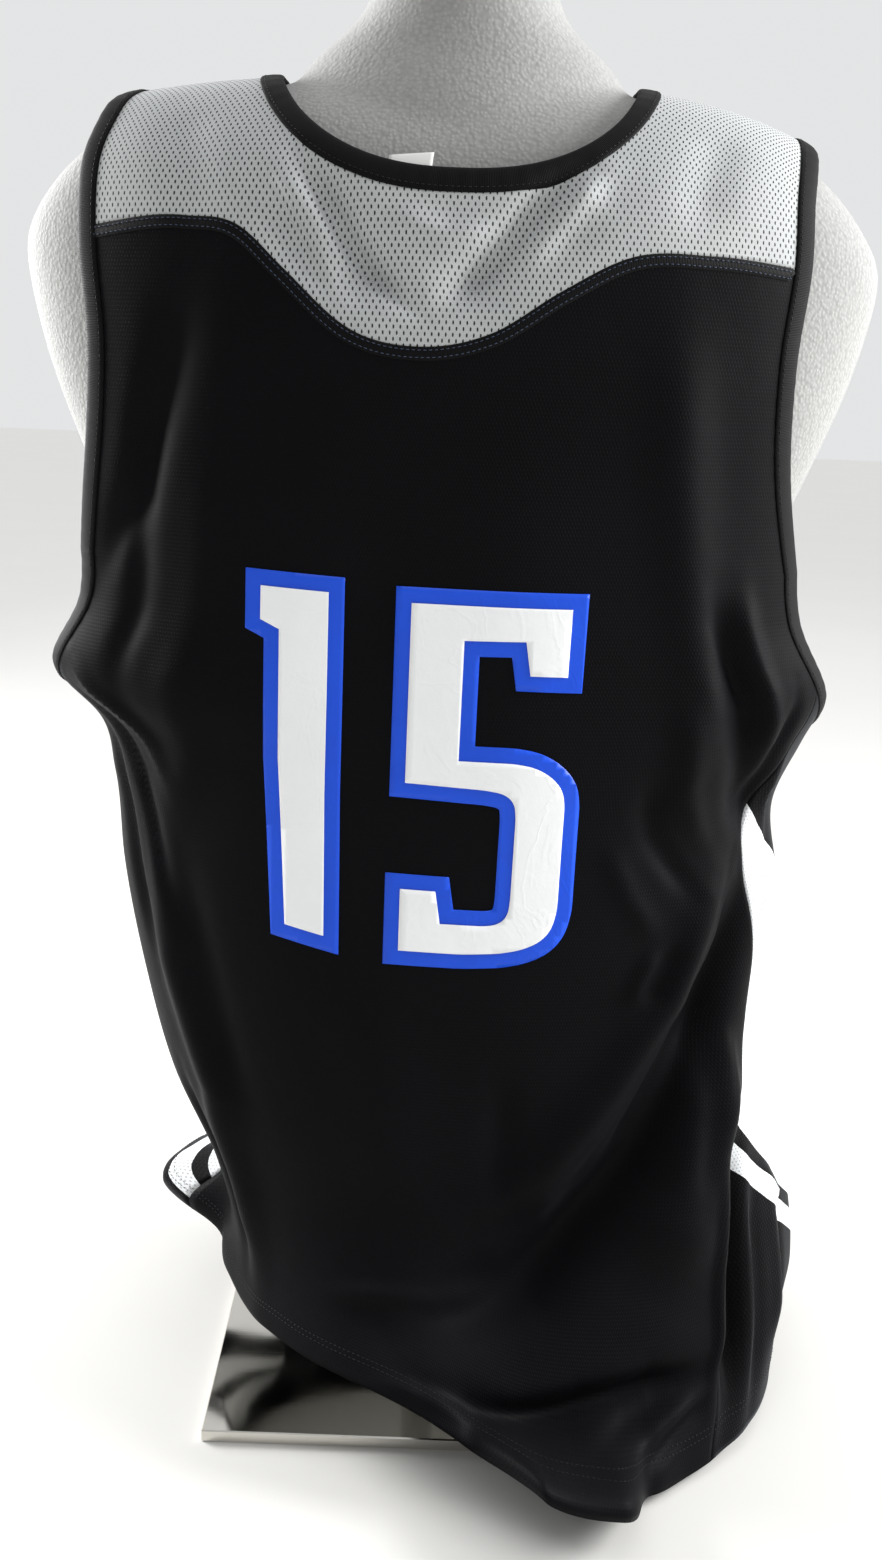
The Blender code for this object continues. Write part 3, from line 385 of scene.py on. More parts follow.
def neckEdge(level):
    bend = np.radians(np.linspace(180, 0, pattern["neckPoints"]))
    side = np.sign(np.cos(bend)) * np.abs(np.cos(bend)) ** pattern["neckPowerWide"]
    deep = np.sin(bend).clip(0) ** pattern["neckPowerDeep"]
    levels = drape["ridge"] - (drape["ridge"] - level) * deep
    turns = turnAt(pattern["neckMiddle"] + pattern["neckHalfWidth"] * side, levels)
    return joined(turns, levels)


def toFront(path):
    return (path * (-1, 1) + (180, 0))[::-1]


def sideSeam(name, top, rows):
    levels = np.linspace(0, top[1], rows + 1)
    places = np.append(pattern["sideSeams"]["level"], top[1])
    return joined(smooth(places, np.append(pattern["sideSeams"][name], top[0]), levels), levels)


def spread(bottom, top, left, right):
    # a grid of addresses filled in between its four edges
    def share(path, k):
        return (path[:, k] - path[0, k]) / (path[-1, k] - path[0, k])

    up = (share(left, 1) + share(right, 1))[:, None] / 2
    across = share(bottom, 0)[None, :] * (1 - up) + share(top, 0)[None, :] * up
    across, up = across[..., None], up[..., None] * np.ones_like(across)[..., None]
    upwards = (1 - up) * bottom[None] + up * top[None]
    sideways = (1 - across) * left[:, None] + across * right[:, None]
    low = (1 - across) * bottom[0] + across * bottom[-1]
    high = (1 - across) * top[0] + across * top[-1]
    return upwards + sideways - (1 - up) * low - up * high


def cutAt(path, level):
    # index where a path that rises or falls crosses a level
    return int(np.argmin(np.abs(path[:, 1] - level)))


grid = {
    "columns": 150, "strapColumns": 18, "sideColumns": 40,
    "bodyRows": 130, "upperRows": 80, "yokeRows": 46, "frontColumns": 120, "frontStrap": 16,
}


def fanned(columns, strapColumns):
    ends = [0, pattern["strapShare"], 1 - pattern["strapShare"], 1]
    return np.interp(np.arange(columns + 1), [0, strapColumns, columns - strapColumns, columns], ends)


def pieceEdges():
    edges, corner = {}, pattern["corner"]
    for side, sign in (("Left", -1), ("Right", 1)):
        edge = armholeEdge(sign)
        seam = inset(edge, -pattern["bindingWidth"])
        edges["armhole" + side], edges["armholeSeam" + side] = edge, seam
        lowest = int(np.argmin(seam[:, 1]))
        yokeLevel = np.interp(sign * pattern["armholeX"], *pattern["yokeSeam"].T)
        back = seam[:lowest + 1][::-1] if sign > 0 else seam[lowest:]
        front = seam[lowest:] if sign > 0 else seam[:lowest + 1][::-1]
        yoke = cutAt(back, yokeLevel)
        edges["underarm" + side] = np.concatenate([back[:corner + 1][::-1], front[1:corner + 1]])
        edges["back" + side] = sideSeam("back" + side, back[corner], grid["bodyRows"])
        edges["front" + side] = sideSeam("front" + side, front[corner], grid["bodyRows"])
        edges["backUp" + side] = resample(back[corner:yoke + 1], grid["upperRows"])
        edges["yokeUp" + side] = resample(back[yoke:], grid["yokeRows"])
        chest = cutAt(front, pattern["chestLevel"])
        edges["frontUp" + side] = resample(front[corner:chest + 1], grid["upperRows"] // 2)
        edges["frontTop" + side] = resample(front[chest:], grid["upperRows"])
    edges["neckBack"] = neckEdge(pattern["neckBack"])
    edges["neckFront"] = toFront(neckEdge(pattern["neckFront"]))
    for name in ("neckBack", "neckFront"):
        seam = inset(edges[name], -pattern["bindingWidth"])
        seam[0, 1] = seam[-1, 1] = drape["ridge"]
        edges[name + "Seam"] = seam
    ends = edges["yokeUpLeft"][0], edges["yokeUpRight"][0]
    share = fanned(grid["columns"], grid["strapColumns"])
    turn = ends[0][0] + (ends[1][0] - ends[0][0]) * share
    level = ends[0][1] + (ends[1][1] - ends[0][1]) * share
    for step in range(pattern["seamPasses"]):
        level = smooth(*pattern["yokeSeam"].T, figurePoint(turn, level)[:, 0])
    level[0], level[-1] = ends[0][1], ends[1][1]
    edges["yoke"] = joined(turn, level)
    return edges


def hemLine(start, end, columns):
    return joined(np.linspace(start, end, columns + 1), np.zeros(columns + 1))


def topLine(left, neck, right, columns, strapColumns):
    # strap, neck, strap
    middle = resample(neck, columns - 2 * strapColumns)
    return np.concatenate([np.linspace(left, neck[0], strapColumns + 1), middle[1:-1],
                           np.linspace(neck[-1], right, strapColumns + 1)])


def backAddresses(edges):
    left = np.concatenate([edges["backLeft"], edges["backUpLeft"][1:]])
    right = np.concatenate([edges["backRight"], edges["backUpRight"][1:]])
    return spread(hemLine(left[0, 0], right[0, 0], grid["columns"]), edges["yoke"], left, right)


def yokeAddresses(edges):
    left, right = edges["yokeUpLeft"], edges["yokeUpRight"]
    top = topLine(left[-1], edges["neckBackSeam"], right[-1], grid["columns"], grid["strapColumns"])
    return spread(edges["yoke"], top, left, right)


def frontAddresses(edges):
    around = np.array((360, 0))
    left = np.concatenate([edges["frontRight"], edges["frontUpRight"][1:]])
    right = np.concatenate([edges["frontLeft"], edges["frontUpLeft"][1:]]) + around
    leftTop, rightTop = edges["frontTopRight"], edges["frontTopLeft"] + around
    columns, strapColumns = grid["frontColumns"], grid["frontStrap"]
    top = topLine(leftTop[-1], edges["neckFrontSeam"], rightTop[-1], columns, strapColumns)
    chest = left[-1] + (right[-1] - left[-1]) * fanned(columns, strapColumns)[:, None]
    lower = spread(hemLine(left[0, 0], right[0, 0], columns), chest, left, right)
    return np.concatenate([lower, spread(chest, top, leftTop, rightTop)[1:]])


def sideAddresses(edges, side):
    first, last = ("back", "front") if side == "Right" else ("front", "back")
    left, right = edges[first + side], edges[last + side]
    top = resample(edges["underarm" + side], grid["sideColumns"])
    return spread(hemLine(left[0, 0], right[0, 0], grid["sideColumns"]), top, left, right)


# Width along the chest, so that knits and stripes keep their scale round the body
arcTurns, arcLevel = np.arange(-200.0, 561.0, 2.0), 0.6
arcWidths = lengthAlong(figurePoint(arcTurns, np.full(arcTurns.shape, arcLevel)))


def clothUv(path):
    return joined(np.interp(path[..., 0], arcTurns, arcWidths), path[..., 1])


def meshFrom(name, bm):
    made = bpy.data.meshes.new(name)
    bm.to_mesh(made)
    bm.free()
    return made


def addObject(name, data):
    added = bpy.data.objects.new(name, data)
    bpy.context.collection.objects.link(added)
    return added


def register(name, surface, material, slotName, *nodes):
    surface.shade_smooth()
    surface.materials.append(materials[material])
    piece = addObject(name, surface)
    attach(piece, "root")
    if nodes:
        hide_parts(*nodes)
    return piece


def thicken(piece, thickness, side):
    # a live wall, grown inwards (-1), outwards (1) or both ways (0)
    shell = piece.modifiers.new("wall", "SOLIDIFY")
    shell.thickness = thickness
    shell.offset = side


def sheetMesh(name, points, uv):
    # a grid from the operator, with its points laid on the cloth
    rows, columns = points.shape[:2]
    bm = bmesh.new()
    bm.loops.layers.uv.new("UVMap")
    bmesh.ops.create_grid(bm, x_segments=columns - 1, y_segments=rows - 1, size=1, calc_uvs=True)
    made = meshFrom(name, bm)
    flat = np.empty(len(made.vertices) * 3)
    made.vertices.foreach_get("co", flat)
    flat = flat.reshape(-1, 3)
    i = np.rint((flat[:, 0] + 1) / 2 * (columns - 1)).astype(int)
    j = np.rint((flat[:, 1] + 1) / 2 * (rows - 1)).astype(int)
    made.vertices.foreach_set("co", points[j, i].ravel())
    corner = np.empty(len(made.loops), dtype=int)
    made.loops.foreach_get("vertex_index", corner)
    made.uv_layers["UVMap"].data.foreach_set("uv", uv[j, i][corner].ravel())
    made.update()
    return made


def laySheet(name, path, lift, *details):
    return register(name, sheetMesh(name, clothPoint(path, lift), clothUv(path)), *details)


def layCloth(name, path, *details):
    piece = laySheet(name, path, 0.0, *details)
    thicken(piece, drape["wall"], -1)
    return piece


# Colours and materials

def linear(code):
    # sRGB hex to linear
    channels = [int(code[k:k + 2], 16) / 255 for k in (1, 3, 5)]
    return tuple(c / 12.92 if c <= 0.04045 else ((c + 0.055) / 1.055) ** 2.4 for c in channels) + (1,)


def addNode(tree, kind, links=None, **settings):
    node = tree.nodes.new(kind)
    for key, value in settings.items():
        setattr(node, key, value)
    for key, value in (links or {}).items():
        if isinstance(value, bpy.types.NodeSocket):
            tree.links.new(value, node.inputs[key])
        else:
            node.inputs[key].default_value = value
    return node


def calc(tree, operation, *values):
    return addNode(tree, "ShaderNodeMath", dict(enumerate(values)), operation=operation).outputs[0]


def ranged(tree, value, low, high, toLow, toHigh, blend="LINEAR"):
    # a value moved from one range to another
    ends = dict(enumerate((value, low, high, toLow, toHigh)))
    return addNode(tree, "ShaderNodeMapRange", ends, interpolation_type=blend).outputs[0]


def objectPlace(tree):
    return addNode(tree, "ShaderNodeTexCoord").outputs["Object"]


def sheetPlace(tree):
    # metres round the cloth and up it
    return addNode(tree, "ShaderNodeUVMap", uv_map="UVMap").outputs[0]


def paint(tree, shader, colour):
    tree.links.new(colour, shader.inputs["Base Color"])


def newMaterial(name, **values):
    material = bpy.data.materials.new(name)
    material.use_nodes = True
    tree = material.node_tree
    shader = tree.nodes["Principled BSDF"]
    for key, value in values.items():
        shader.inputs[key.replace("_", " ")].default_value = value
    return material, tree, shader


holeRim = (1.35, 0.55)   # the rim fades between these squares of the distance, 1 at the half size


def holes(tree, pitchWide, pitchTall, halfWide, halfTall):
    # 1 inside a hole, 0 on the yarn, every second row shifted by half a pitch
    axes = addNode(tree, "ShaderNodeSeparateXYZ", {0: sheetPlace(tree)})
    y = calc(tree, "MULTIPLY", axes.outputs[1], 1 / pitchTall)
    shift = calc(tree, "MULTIPLY", calc(tree, "FLOOR", y), 0.5)
    x = calc(tree, "MULTIPLY_ADD", axes.outputs[0], 1 / pitchWide, shift)
    squares = []
    for value, pitch, half in ((x, pitchWide, halfWide), (y, pitchTall, halfTall)):
        part = calc(tree, "SUBTRACT", calc(tree, "FRACT", value), 0.5)
        metres = calc(tree, "MULTIPLY", part, pitch)
        squares.append(calc(tree, "POWER", calc(tree, "MULTIPLY", metres, 1 / half), 2.0))
    return ranged(tree, calc(tree, "ADD", *squares), *holeRim, 0.0, 1.0, "SMOOTHSTEP")


def mixColour(tree, factor, first, second):
    return addNode(tree, "ShaderNodeMix", {0: factor, 6: first, 7: second}, data_type="RGBA").outputs[2]


def softNoise(tree, source, scale, detail=2.0, distortion=0.0):
    links = {"Vector": source, "Scale": scale, "Detail": detail, "Distortion": distortion}
    return addNode(tree, "ShaderNodeTexNoise", links).outputs[0]


def cloudyColour(tree, place, scale, first, second, detail=2.0):
    # two near colours in soft patches
    return mixColour(tree, softNoise(tree, place, scale, detail), linear(first), linear(second))


def waves(tree, source, direction, scale, distortion=0.0, detail=2.0):
    links = {"Vector": source, "Scale": scale, "Distortion": distortion, "Detail": detail}
    return addNode(tree, "ShaderNodeTexWave", links, bands_direction=direction).outputs[1]


def inverse(tree, value):
    return calc(tree, "SUBTRACT", 1.0, value)


def addBump(tree, shader, height, distance, strength=1.0, under=None):
    links = {"Height": height, "Distance": distance, "Strength": strength}
    if under:
        links["Normal"] = under
    bump = addNode(tree, "ShaderNodeBump", links)
    tree.links.new(bump.outputs[0], shader.inputs["Normal"])
    return bump.outputs[0]


knit = {
    "black": "#09090B", "blackWorn": "#0E0E11", "white": "#DCDEE0",
    # pitch and half size of the dots: real 1.1 mm wales, drawn coarser to show
    "dots": (0.0021, 0.0024, 0.00048, 0.00062),
}


def knitMaterial(name, base, other, sheen, stripes=False):
    # polyester interlock: soft dull face, small dots of the knit drawn darker as painted shade in their
    # hollows, faint sheen on ridges
    material, tree, shader = newMaterial(name, Roughness=0.56, Sheen_Weight=sheen, Sheen_Roughness=0.35,
                                         Sheen_Tint=linear("#C9CDD6"), Specular_IOR_Level=0.045)
    place = objectPlace(tree)
    dots = holes(tree, *knit["dots"])
    if stripes:
        plain = stripeColours(tree, linear(base), linear(other))
    else:
        plain = cloudyColour(tree, place, 9.0, base, other)
    # the dots are darkened toward near-black: painted shade in the knit's hollows
    paintedDotShade = calc(tree, "MULTIPLY", dots, 0.35)
    paint(tree, shader, mixColour(tree, paintedDotShade, plain, linear("#060607")))
    wide = addBump(tree, shader, softNoise(tree, place, 60.0, 3.0), 0.0006, 0.5)
    addBump(tree, shader, inverse(tree, dots), 0.00022, 0.8, wide)
    return material


stripe = {
    "white": 0.016, "black": 0.011,
    # level of the black end at the panel's back and front seams
    "slant": {"Left": (0.012, 0.045), "Right": (0.185, 0.040)},
    # level of the black top at the same seams
    "top": {"Left": (0.440, 0.340), "Right": (0.432, 0.317)},
}


def stripeColours(tree, white, black):
    # black lower end on a slant, one white line, one black line, plain white, black top
    above, top = (addNode(tree, "ShaderNodeAttribute", attribute_name=name).outputs["Fac"]
                  for name in ("above_slant", "above_top"))
    centred = calc(tree, "SUBTRACT", above, stripe["white"] + stripe["black"] / 2)
    band = calc(tree, "LESS_THAN", calc(tree, "ABSOLUTE", centred), stripe["black"] / 2)
    low, high = calc(tree, "LESS_THAN", above, 0.0), calc(tree, "GREATER_THAN", top, 0.0)
    dark = calc(tree, "MAXIMUM", calc(tree, "MAXIMUM", low, high), band)
    return mixColour(tree, dark, white, black)


mesh = {
    # hole and fine are painted shade: the dark seen through the tall holes and through the fine ones
    "yarn": "#B8BABA", "yarnShade": "#A6A9AA", "hole": "#141518", "fine": "#7E8285",
    # pitch and half size of the tall holes, and of the fine ones between them
    "holes": (0.0040, 0.0035, 0.00054, 0.00122), "fineHoles": (0.0014, 0.0013, 0.0003, 0.0003),
}


def meshMaterial():
    # warp-knitted polyester mesh: pale yarn, tall holes in staggered rows painted dark as the shade seen
    # through them, fine holes painted a little darker
    material, tree, shader = newMaterial("warp knit mesh grey", Roughness=0.66, Sheen_Weight=0.1)
    place = objectPlace(tree)
    hole = holes(tree, *mesh["holes"])
    # the fine holes take a little painted shade
    faint = calc(tree, "MULTIPLY", holes(tree, *mesh["fineHoles"]), 0.16)
    yarn = cloudyColour(tree, place, 14.0, mesh["yarn"], mesh["yarnShade"])
    yarn = mixColour(tree, faint, yarn, linear(mesh["fine"]))
    # the tall holes are painted shade in place of what lies behind them
    paint(tree, shader, mixColour(tree, hole, yarn, linear(mesh["hole"])))
    wide = addBump(tree, shader, softNoise(tree, place, 70.0), 0.0005, 0.4)
    addBump(tree, shader, inverse(tree, hole), 0.0006, 0.9, wide)
    return material


def filmMaterial(name, base, worn):
    # heat-bonded polyurethane film: smooth, a little glossy, fine creases from folding
    material, tree, shader = newMaterial(name, Roughness=0.38, Coat_Weight=0.05, Coat_Roughness=0.3,
                                         Specular_IOR_Level=0.22)
    place = objectPlace(tree)
    paint(tree, shader, cloudyColour(tree, place, 35.0, base, worn, 4.0))
    wide = addBump(tree, shader, softNoise(tree, place, 48.0, 4.0), 0.0009, 0.5)
    winding = calc(tree, "SUBTRACT", softNoise(tree, place, 17.0, 3.0, 1.6), 0.5)
    creased = ranged(tree, calc(tree, "ABSOLUTE", winding), 0.0, 0.035, 1.0, 0.0)
    wide = addBump(tree, shader, creased, 0.0004, 0.2, wide)
    addBump(tree, shader, softNoise(tree, place, 700.0), 0.0001, 0.5, wide)
    return material


def tapeMaterial():
    # folded knit tape: fine cross ribs, duller than the body
    material, tree, shader = newMaterial("knit binding tape black", Roughness=0.6, Sheen_Weight=0.02,
                                         Specular_IOR_Level=0.08)
    cloudy = softNoise(tree, objectPlace(tree), 30.0)
    paint(tree, shader, mixColour(tree, cloudy, linear("#070708"), linear("#0D0D10")))
    wide = addBump(tree, shader, cloudy, 0.0006, 0.5)
    addBump(tree, shader, waves(tree, sheetPlace(tree), "X", 330.0, 0.4, 1.0), 0.0002, 0.6, wide)
    return material


def threadMaterial(name, code):
    # polyester sewing thread: twisted, slightly shiny
    material, tree, shader = newMaterial(name, Roughness=0.5, Sheen_Weight=0.04, Specular_IOR_Level=0.2)
    twist = waves(tree, objectPlace(tree), "DIAGONAL", 900.0, 1.0)
    base = linear(code)
    dim = tuple(c * 0.6 for c in base[:3]) + (1,)
    paint(tree, shader, mixColour(tree, twist, base, dim))
    return material


def labelMaterial():
    # woven satin label: white, fine cross threads
    material, tree, shader = newMaterial("woven label white", Roughness=0.5, Sheen_Weight=0.15)
    threads = waves(tree, sheetPlace(tree), "Y", 520.0)
    paint(tree, shader, mixColour(tree, threads, linear("#E4E4E1"), linear("#D2D2CE")))
    addBump(tree, shader, threads, 0.0001, 0.6)
    return material


def coverMaterial():
    # brushed jersey cover over foam: pale grey, stippled, darker between the pimples as painted shade
    material, tree, shader = newMaterial("form cover stippled grey", Roughness=0.85, Sheen_Weight=0.15)
    place = objectPlace(tree)
    pimples = addNode(tree, "ShaderNodeTexVoronoi", {"Vector": place, "Scale": 420.0, "Randomness": 0.8},
                      feature="SMOOTH_F1").outputs[0]
    base = cloudyColour(tree, place, 12.0, "#A4A4A2", "#969694")
    # painted shade in the hollows between the pimples, where the bump is low
    faint = ranged(tree, pimples, 0.1, 0.7, 0.0, 0.35)
    paint(tree, shader, mixColour(tree, faint, base, linear("#626261")))
    addBump(tree, shader, inverse(tree, pimples), 0.0007, 0.7)
    return material


def mirrorMaterial(name, edge):
    # polished stainless steel: clear reflections, light smears and fine scratches
    material, tree, shader = newMaterial(name, Metallic=1.0, Base_Color=linear(edge))
    place = objectPlace(tree)
    rough = ranged(tree, softNoise(tree, place, 16.0, 4.0), 0.3, 0.75, 0.05, 0.16)
    tree.links.new(rough, shader.inputs["Roughness"])
    stretched = addNode(tree, "ShaderNodeMapping", {"Vector": place, "Scale": (3.0, 260.0, 260.0)}).outputs[0]
    addBump(tree, shader, softNoise(tree, stretched, 4.0, 3.0), 0.00003, 0.3)
    return material


materials = {
    "blackKnit": knitMaterial("polyester interlock black", knit["black"], knit["blackWorn"], 0.015),
    "sideKnit": knitMaterial("polyester interlock white and black", knit["white"], knit["black"], 0.15, True),
    "mesh": meshMaterial(),
    "whiteFilm": filmMaterial("heat film white", "#F7F8F9", "#EFF1F2"),
    "blueFilm": filmMaterial("heat film blue", "#1B54E2", "#184BCE"),
    "tape": tapeMaterial(),
    "greyThread": threadMaterial("polyester thread slate", "#3F4A60"),
    "blackThread": threadMaterial("polyester thread black", "#101013"),
    "label": labelMaterial(),
    "cover": coverMaterial(),
    "plate": mirrorMaterial("polished steel plate", "#DAD7D0"),
    "post": mirrorMaterial("polished steel post", "#D4D3D0"),
}
print("materials made")

edges = pieceEdges()
paths = {
    "back": backAddresses(edges),
    "front": frontAddresses(edges),
    "left": sideAddresses(edges, "Left"),
    "right": sideAddresses(edges, "Right"),
}
backPanel = layCloth("back_cloth", paths["back"], "blackKnit", "black_knit", "back_panel")
yoke = layCloth("yoke_cloth", yokeAddresses(edges), "mesh", "grey_mesh", "back_yoke")
frontPanel = layCloth("front_cloth", paths["front"], "blackKnit", "black_knit", "front_panel")
for side in ("Left", "Right"):
    name = side.lower()
    path = paths[name]
    piece = layCloth("side_cloth_" + name, path, "sideKnit", "white_knit", "side_panel_" + name)
    share = np.linspace(0, 1, path.shape[1])
    if side == "Left":
        share = share[::-1]          # 0 at the back seam on both sides
    for edge in ("slant", "top"):
        atBack, atFront = stripe[edge][side]
        above = piece.data.attributes.new("above_" + edge, "FLOAT", "POINT")
        above.data.foreach_set("value", (path[..., 1] - atBack - (atFront - atBack) * share).ravel())
print("panels laid")

tape = {
    # place across the tape (1 at the seam, 0 at the free edge) and lift
    "section": [
        (1.05, 0.0003), (1.0, 0.0009), (0.88, 0.0013), (0.7, 0.0014), (0.5, 0.0015), (0.3, 0.0014),
        (0.12, 0.0012), (0.0, 0.0006), (-0.05, -0.0004), (-0.02, -0.0014), (0.1, -0.0021), (0.4, -0.0024),
        (0.7, -0.0023), (0.95, -0.0019),
    ],
    "wall": 0.0007,
    "pucker": 0.00012,
    "puckerPitch": 0.011,
    "uneven": 0.4,        # share by which the pucker swells and dies, and how fast
    "unevenRate": 37,
    "points": 360,
}


def foldTape(name, parts, node):
    # the tape wraps the edge: outer face, rolled edge, inner face
    free, seam = evenParts(parts, tape["points"])
    along = lengthAlong(clothPoint(free))
    swell = 1 - tape["uneven"] + tape["uneven"] * np.sin(along * tape["unevenRate"])
    wave = np.sin(along / tape["puckerPitch"] * math.tau) * swell
    rows, uvRows, width = [], [], 0.0
    for k, (place, lift) in enumerate(tape["section"]):
        path = free + (seam - free) * place
        pucker = tape["pucker"] * wave * (1 if lift > 0 else 0)
        rows.append(clothPoint(path, lift + pucker))
        if k:
            width += np.linalg.norm(rows[-1] - rows[-2], axis=-1).mean()
        uvRows.append(joined(along, np.full(along.shape, width)))
    points = np.stack(rows)
    points[:, -1] = points[:, 0]
    made = sheetMesh(name, points, np.stack(uvRows))
    bm = bmesh.new()
    bm.from_mesh(made)
    bmesh.ops.remove_doubles(bm, verts=bm.verts, dist=0.00002)
    bmesh.ops.recalc_face_normals(bm, faces=bm.faces)
    piece = register(name, meshFrom(name, bm), "tape", "black_binding", node)
    bpy.data.meshes.remove(made)
    thicken(piece, tape["wall"], -1)
    return piece, width, along[-1]


def evenParts(parts, count):
    # free edge and seam, each part evenly sampled along its free edge, joined into rings
    rings = [[], []]
    for free, seam in parts:
        at = np.linspace(0, 1, count // len(parts) + 1)
        places = lengthAlong(figurePoint(*free.T))
        for ring, path in zip(rings, (free, seam)):
            ring.append(sampled(at, places / places[-1], path))
    return [np.concatenate([part[:-1] for part in ring[:-1]] + ring[-1:]) for ring in rings]


bindings = {}
for side in ("Left", "Right"):
    name = "armhole_binding_" + side.lower()
    bindings[side] = foldTape(name + "_tape", [(edges["armhole" + side], edges["armholeSeam" + side])], name)
neckParts = [(edges[name], edges[name + "Seam"]) for name in ("neckBack", "neckFront")]
bindings["Neck"] = foldTape("neck_binding_tape", neckParts, "neck_binding")
print("bindings folded")

stitch = {
    "length": 0.0024, "gap": 0.0010, "width": 0.0006, "height": 0.00045,
    "yokeDrops": (0.0016, 0.0058), "yokeLift": 0.0009,    # below the yoke seam
    "tapePlace": 0.84, "tapeLift": 0.0014,                # share of the tape's width from its free edge
    "hemLevels": (0.0175, 0.0215), "hemLift": 0.0001,
    # the band under the yoke seam, across its width
    "bandDrops": (0.0076, 0.0070, 0.0040, 0.0004, -0.0004),
    "bandLifts": (0.0002, 0.0006, 0.0008, 0.0006, 0.0002),
    # points along each kind of line
    "rowPoints": 1200, "yokePoints": 400, "bandPoints": 300, "hemPoints": 200,
}


def sewRow(name, path, lift, *details):
    # a row of single stitches, each a small rounded bar that lies on the cloth
    pitch = stitch["length"] + stitch["gap"]
    size = Matrix.Diagonal((stitch["length"] / 2, stitch["width"] / 2, stitch["height"] / 2, 1))
    dense = resample(path, stitch["rowPoints"])
    points = clothPoint(dense)
    along = lengthAlong(points)
    count = int(along[-1] / pitch)
    at = (np.arange(count) + 0.5) * pitch
    spot = sampled(at, along, dense)
    ahead = sampled(at, along, np.gradient(points, axis=0))
    bm = bmesh.new()
    for centre, normal, run in zip(clothPoint(spot, lift), clothNormal(spot), ahead):
        x = Vector(run).normalized()
        z = Vector(normal)
        y = z.cross(x).normalized()
        z = x.cross(y)
        place = Matrix.Translation(centre) @ Matrix((x, y, z)).transposed().to_4x4() @ size
        bmesh.ops.create_icosphere(bm, subdivisions=1, radius=1, matrix=place)
    return register(name, meshFrom(name, bm), *details)


for k, drop in enumerate(stitch["yokeDrops"]):
    line = inset(resample(edges["yoke"], stitch["yokePoints"]), -drop)
    sewRow("yoke_stitch_%d" % k, line, stitch["yokeLift"], "greyThread", "black_knit")
bandLine = resample(edges["yoke"], stitch["bandPoints"])
bandRows = np.stack([inset(bandLine, -drop) for drop in stitch["bandDrops"]])
bandLift = np.array(stitch["bandLifts"])[:, None] * np.ones(len(bandLine))
seamBand = laySheet("yoke_seam_band", bandRows, bandLift, "tape", "black_knit")
tapeRows = [("armhole_stitch_" + name.lower(), edges["armhole" + name], edges["armholeSeam" + name])
            for name in ("Left", "Right")]
tapeRows += [("neck_stitch_" + name, *part) for name, part in zip(("back", "front"), neckParts)]
for name, free, seam in tapeRows:
    line = free + (seam - free) * stitch["tapePlace"]
    sewRow(name, line, stitch["tapeLift"], "blackThread", "black_binding")
hemStitches = {}
for name, path in paths.items():
    hemStitches[name] = []
    for k, level in enumerate(stitch["hemLevels"]):
        ends = [np.interp(level, path[:, column, 1], path[:, column, 0]) for column in (0, -1)]
        line = joined(np.linspace(*ends, stitch["hemPoints"]), np.full(stitch["hemPoints"], level))
        row = sewRow("hem_stitch_%s_%d" % (name, k), line, stitch["hemLift"], "blackThread", "black_knit")
        hemStitches[name].append(row)
print("seams sewn")

number = {
    "border": 0.0098, "film": 0.0003, "blueLift": 0.0005, "whiteLift": 0.0014, "mesh": 0.0045,
    "firstCut": 0.0013, "rayFrom": -0.5,
    # metres cut off each side of a rounded corner, and the largest share of that side
    "bend": (0.003, 0.25),
    # outlines in tenths of a millimetre, where a third value marks a corner that is rounded
    "one": {"foot": (-0.1010, 0.3520), "lean": 0.9, "outline": [
        (35, 70), (290, 15), (290, 940), (312, 2230), (-110, 2258), (-115, 2048), (3, 1990), (-8, 1170),
        (10, 760)]},
    "five": {"foot": (-0.0225, 0.3470), "lean": -0.5, "outline": [
        (-10, 10), (400, 5, 1), (640, 20, 1), (780, 48, 1), (895, 100, 1), (965, 180, 1), (997, 310, 1),
        (1002, 1010, 1), (980, 1110, 1), (905, 1192, 1), (800, 1247, 1), (670, 1268, 1), (320, 1267),
        (320, 2026), (700, 2035), (737, 1823), (970, 1820), (975, 2242), (-15, 2242), (-10, 1107),
        (500, 1090, 1), (625, 1070, 1), (685, 1010, 1), (697, 920, 1), (692, 360, 1), (679, 270, 1),
        (630, 218, 1), (550, 198, 1), (250, 200), (213, 412), (-14, 415)]},
}


def softened(outline):
    # each rounded corner is cut twice, so that the bends read as curves
    length, most = number["bend"]
    for _ in range(2):
        cut = []
        for k, corner in enumerate(outline):
            if len(corner) == 2:
                cut.append(corner)
                continue
            for other in (outline[k - 1], outline[(k + 1) % len(outline)]):
                share = min(most, length / math.dist(corner[:2], other[:2]))
                cut.append((corner[0] + (other[0] - corner[0]) * share,
                            corner[1] + (other[1] - corner[1]) * share, 1))
        outline = cut
    return [corner[:2] for corner in outline]


def grown(outline, width):
    moved = []
    for k, corner in enumerate(outline):
        before = Vector(corner) - Vector(outline[k - 1])
        after = Vector(outline[(k + 1) % len(outline)]) - Vector(corner)
        before.normalize()
        after.normalize()
        out = Vector((before.y + after.y, -before.x - after.x)) * (width / (1 + before.dot(after)))
        moved.append(tuple(Vector(corner) + out))
    return moved


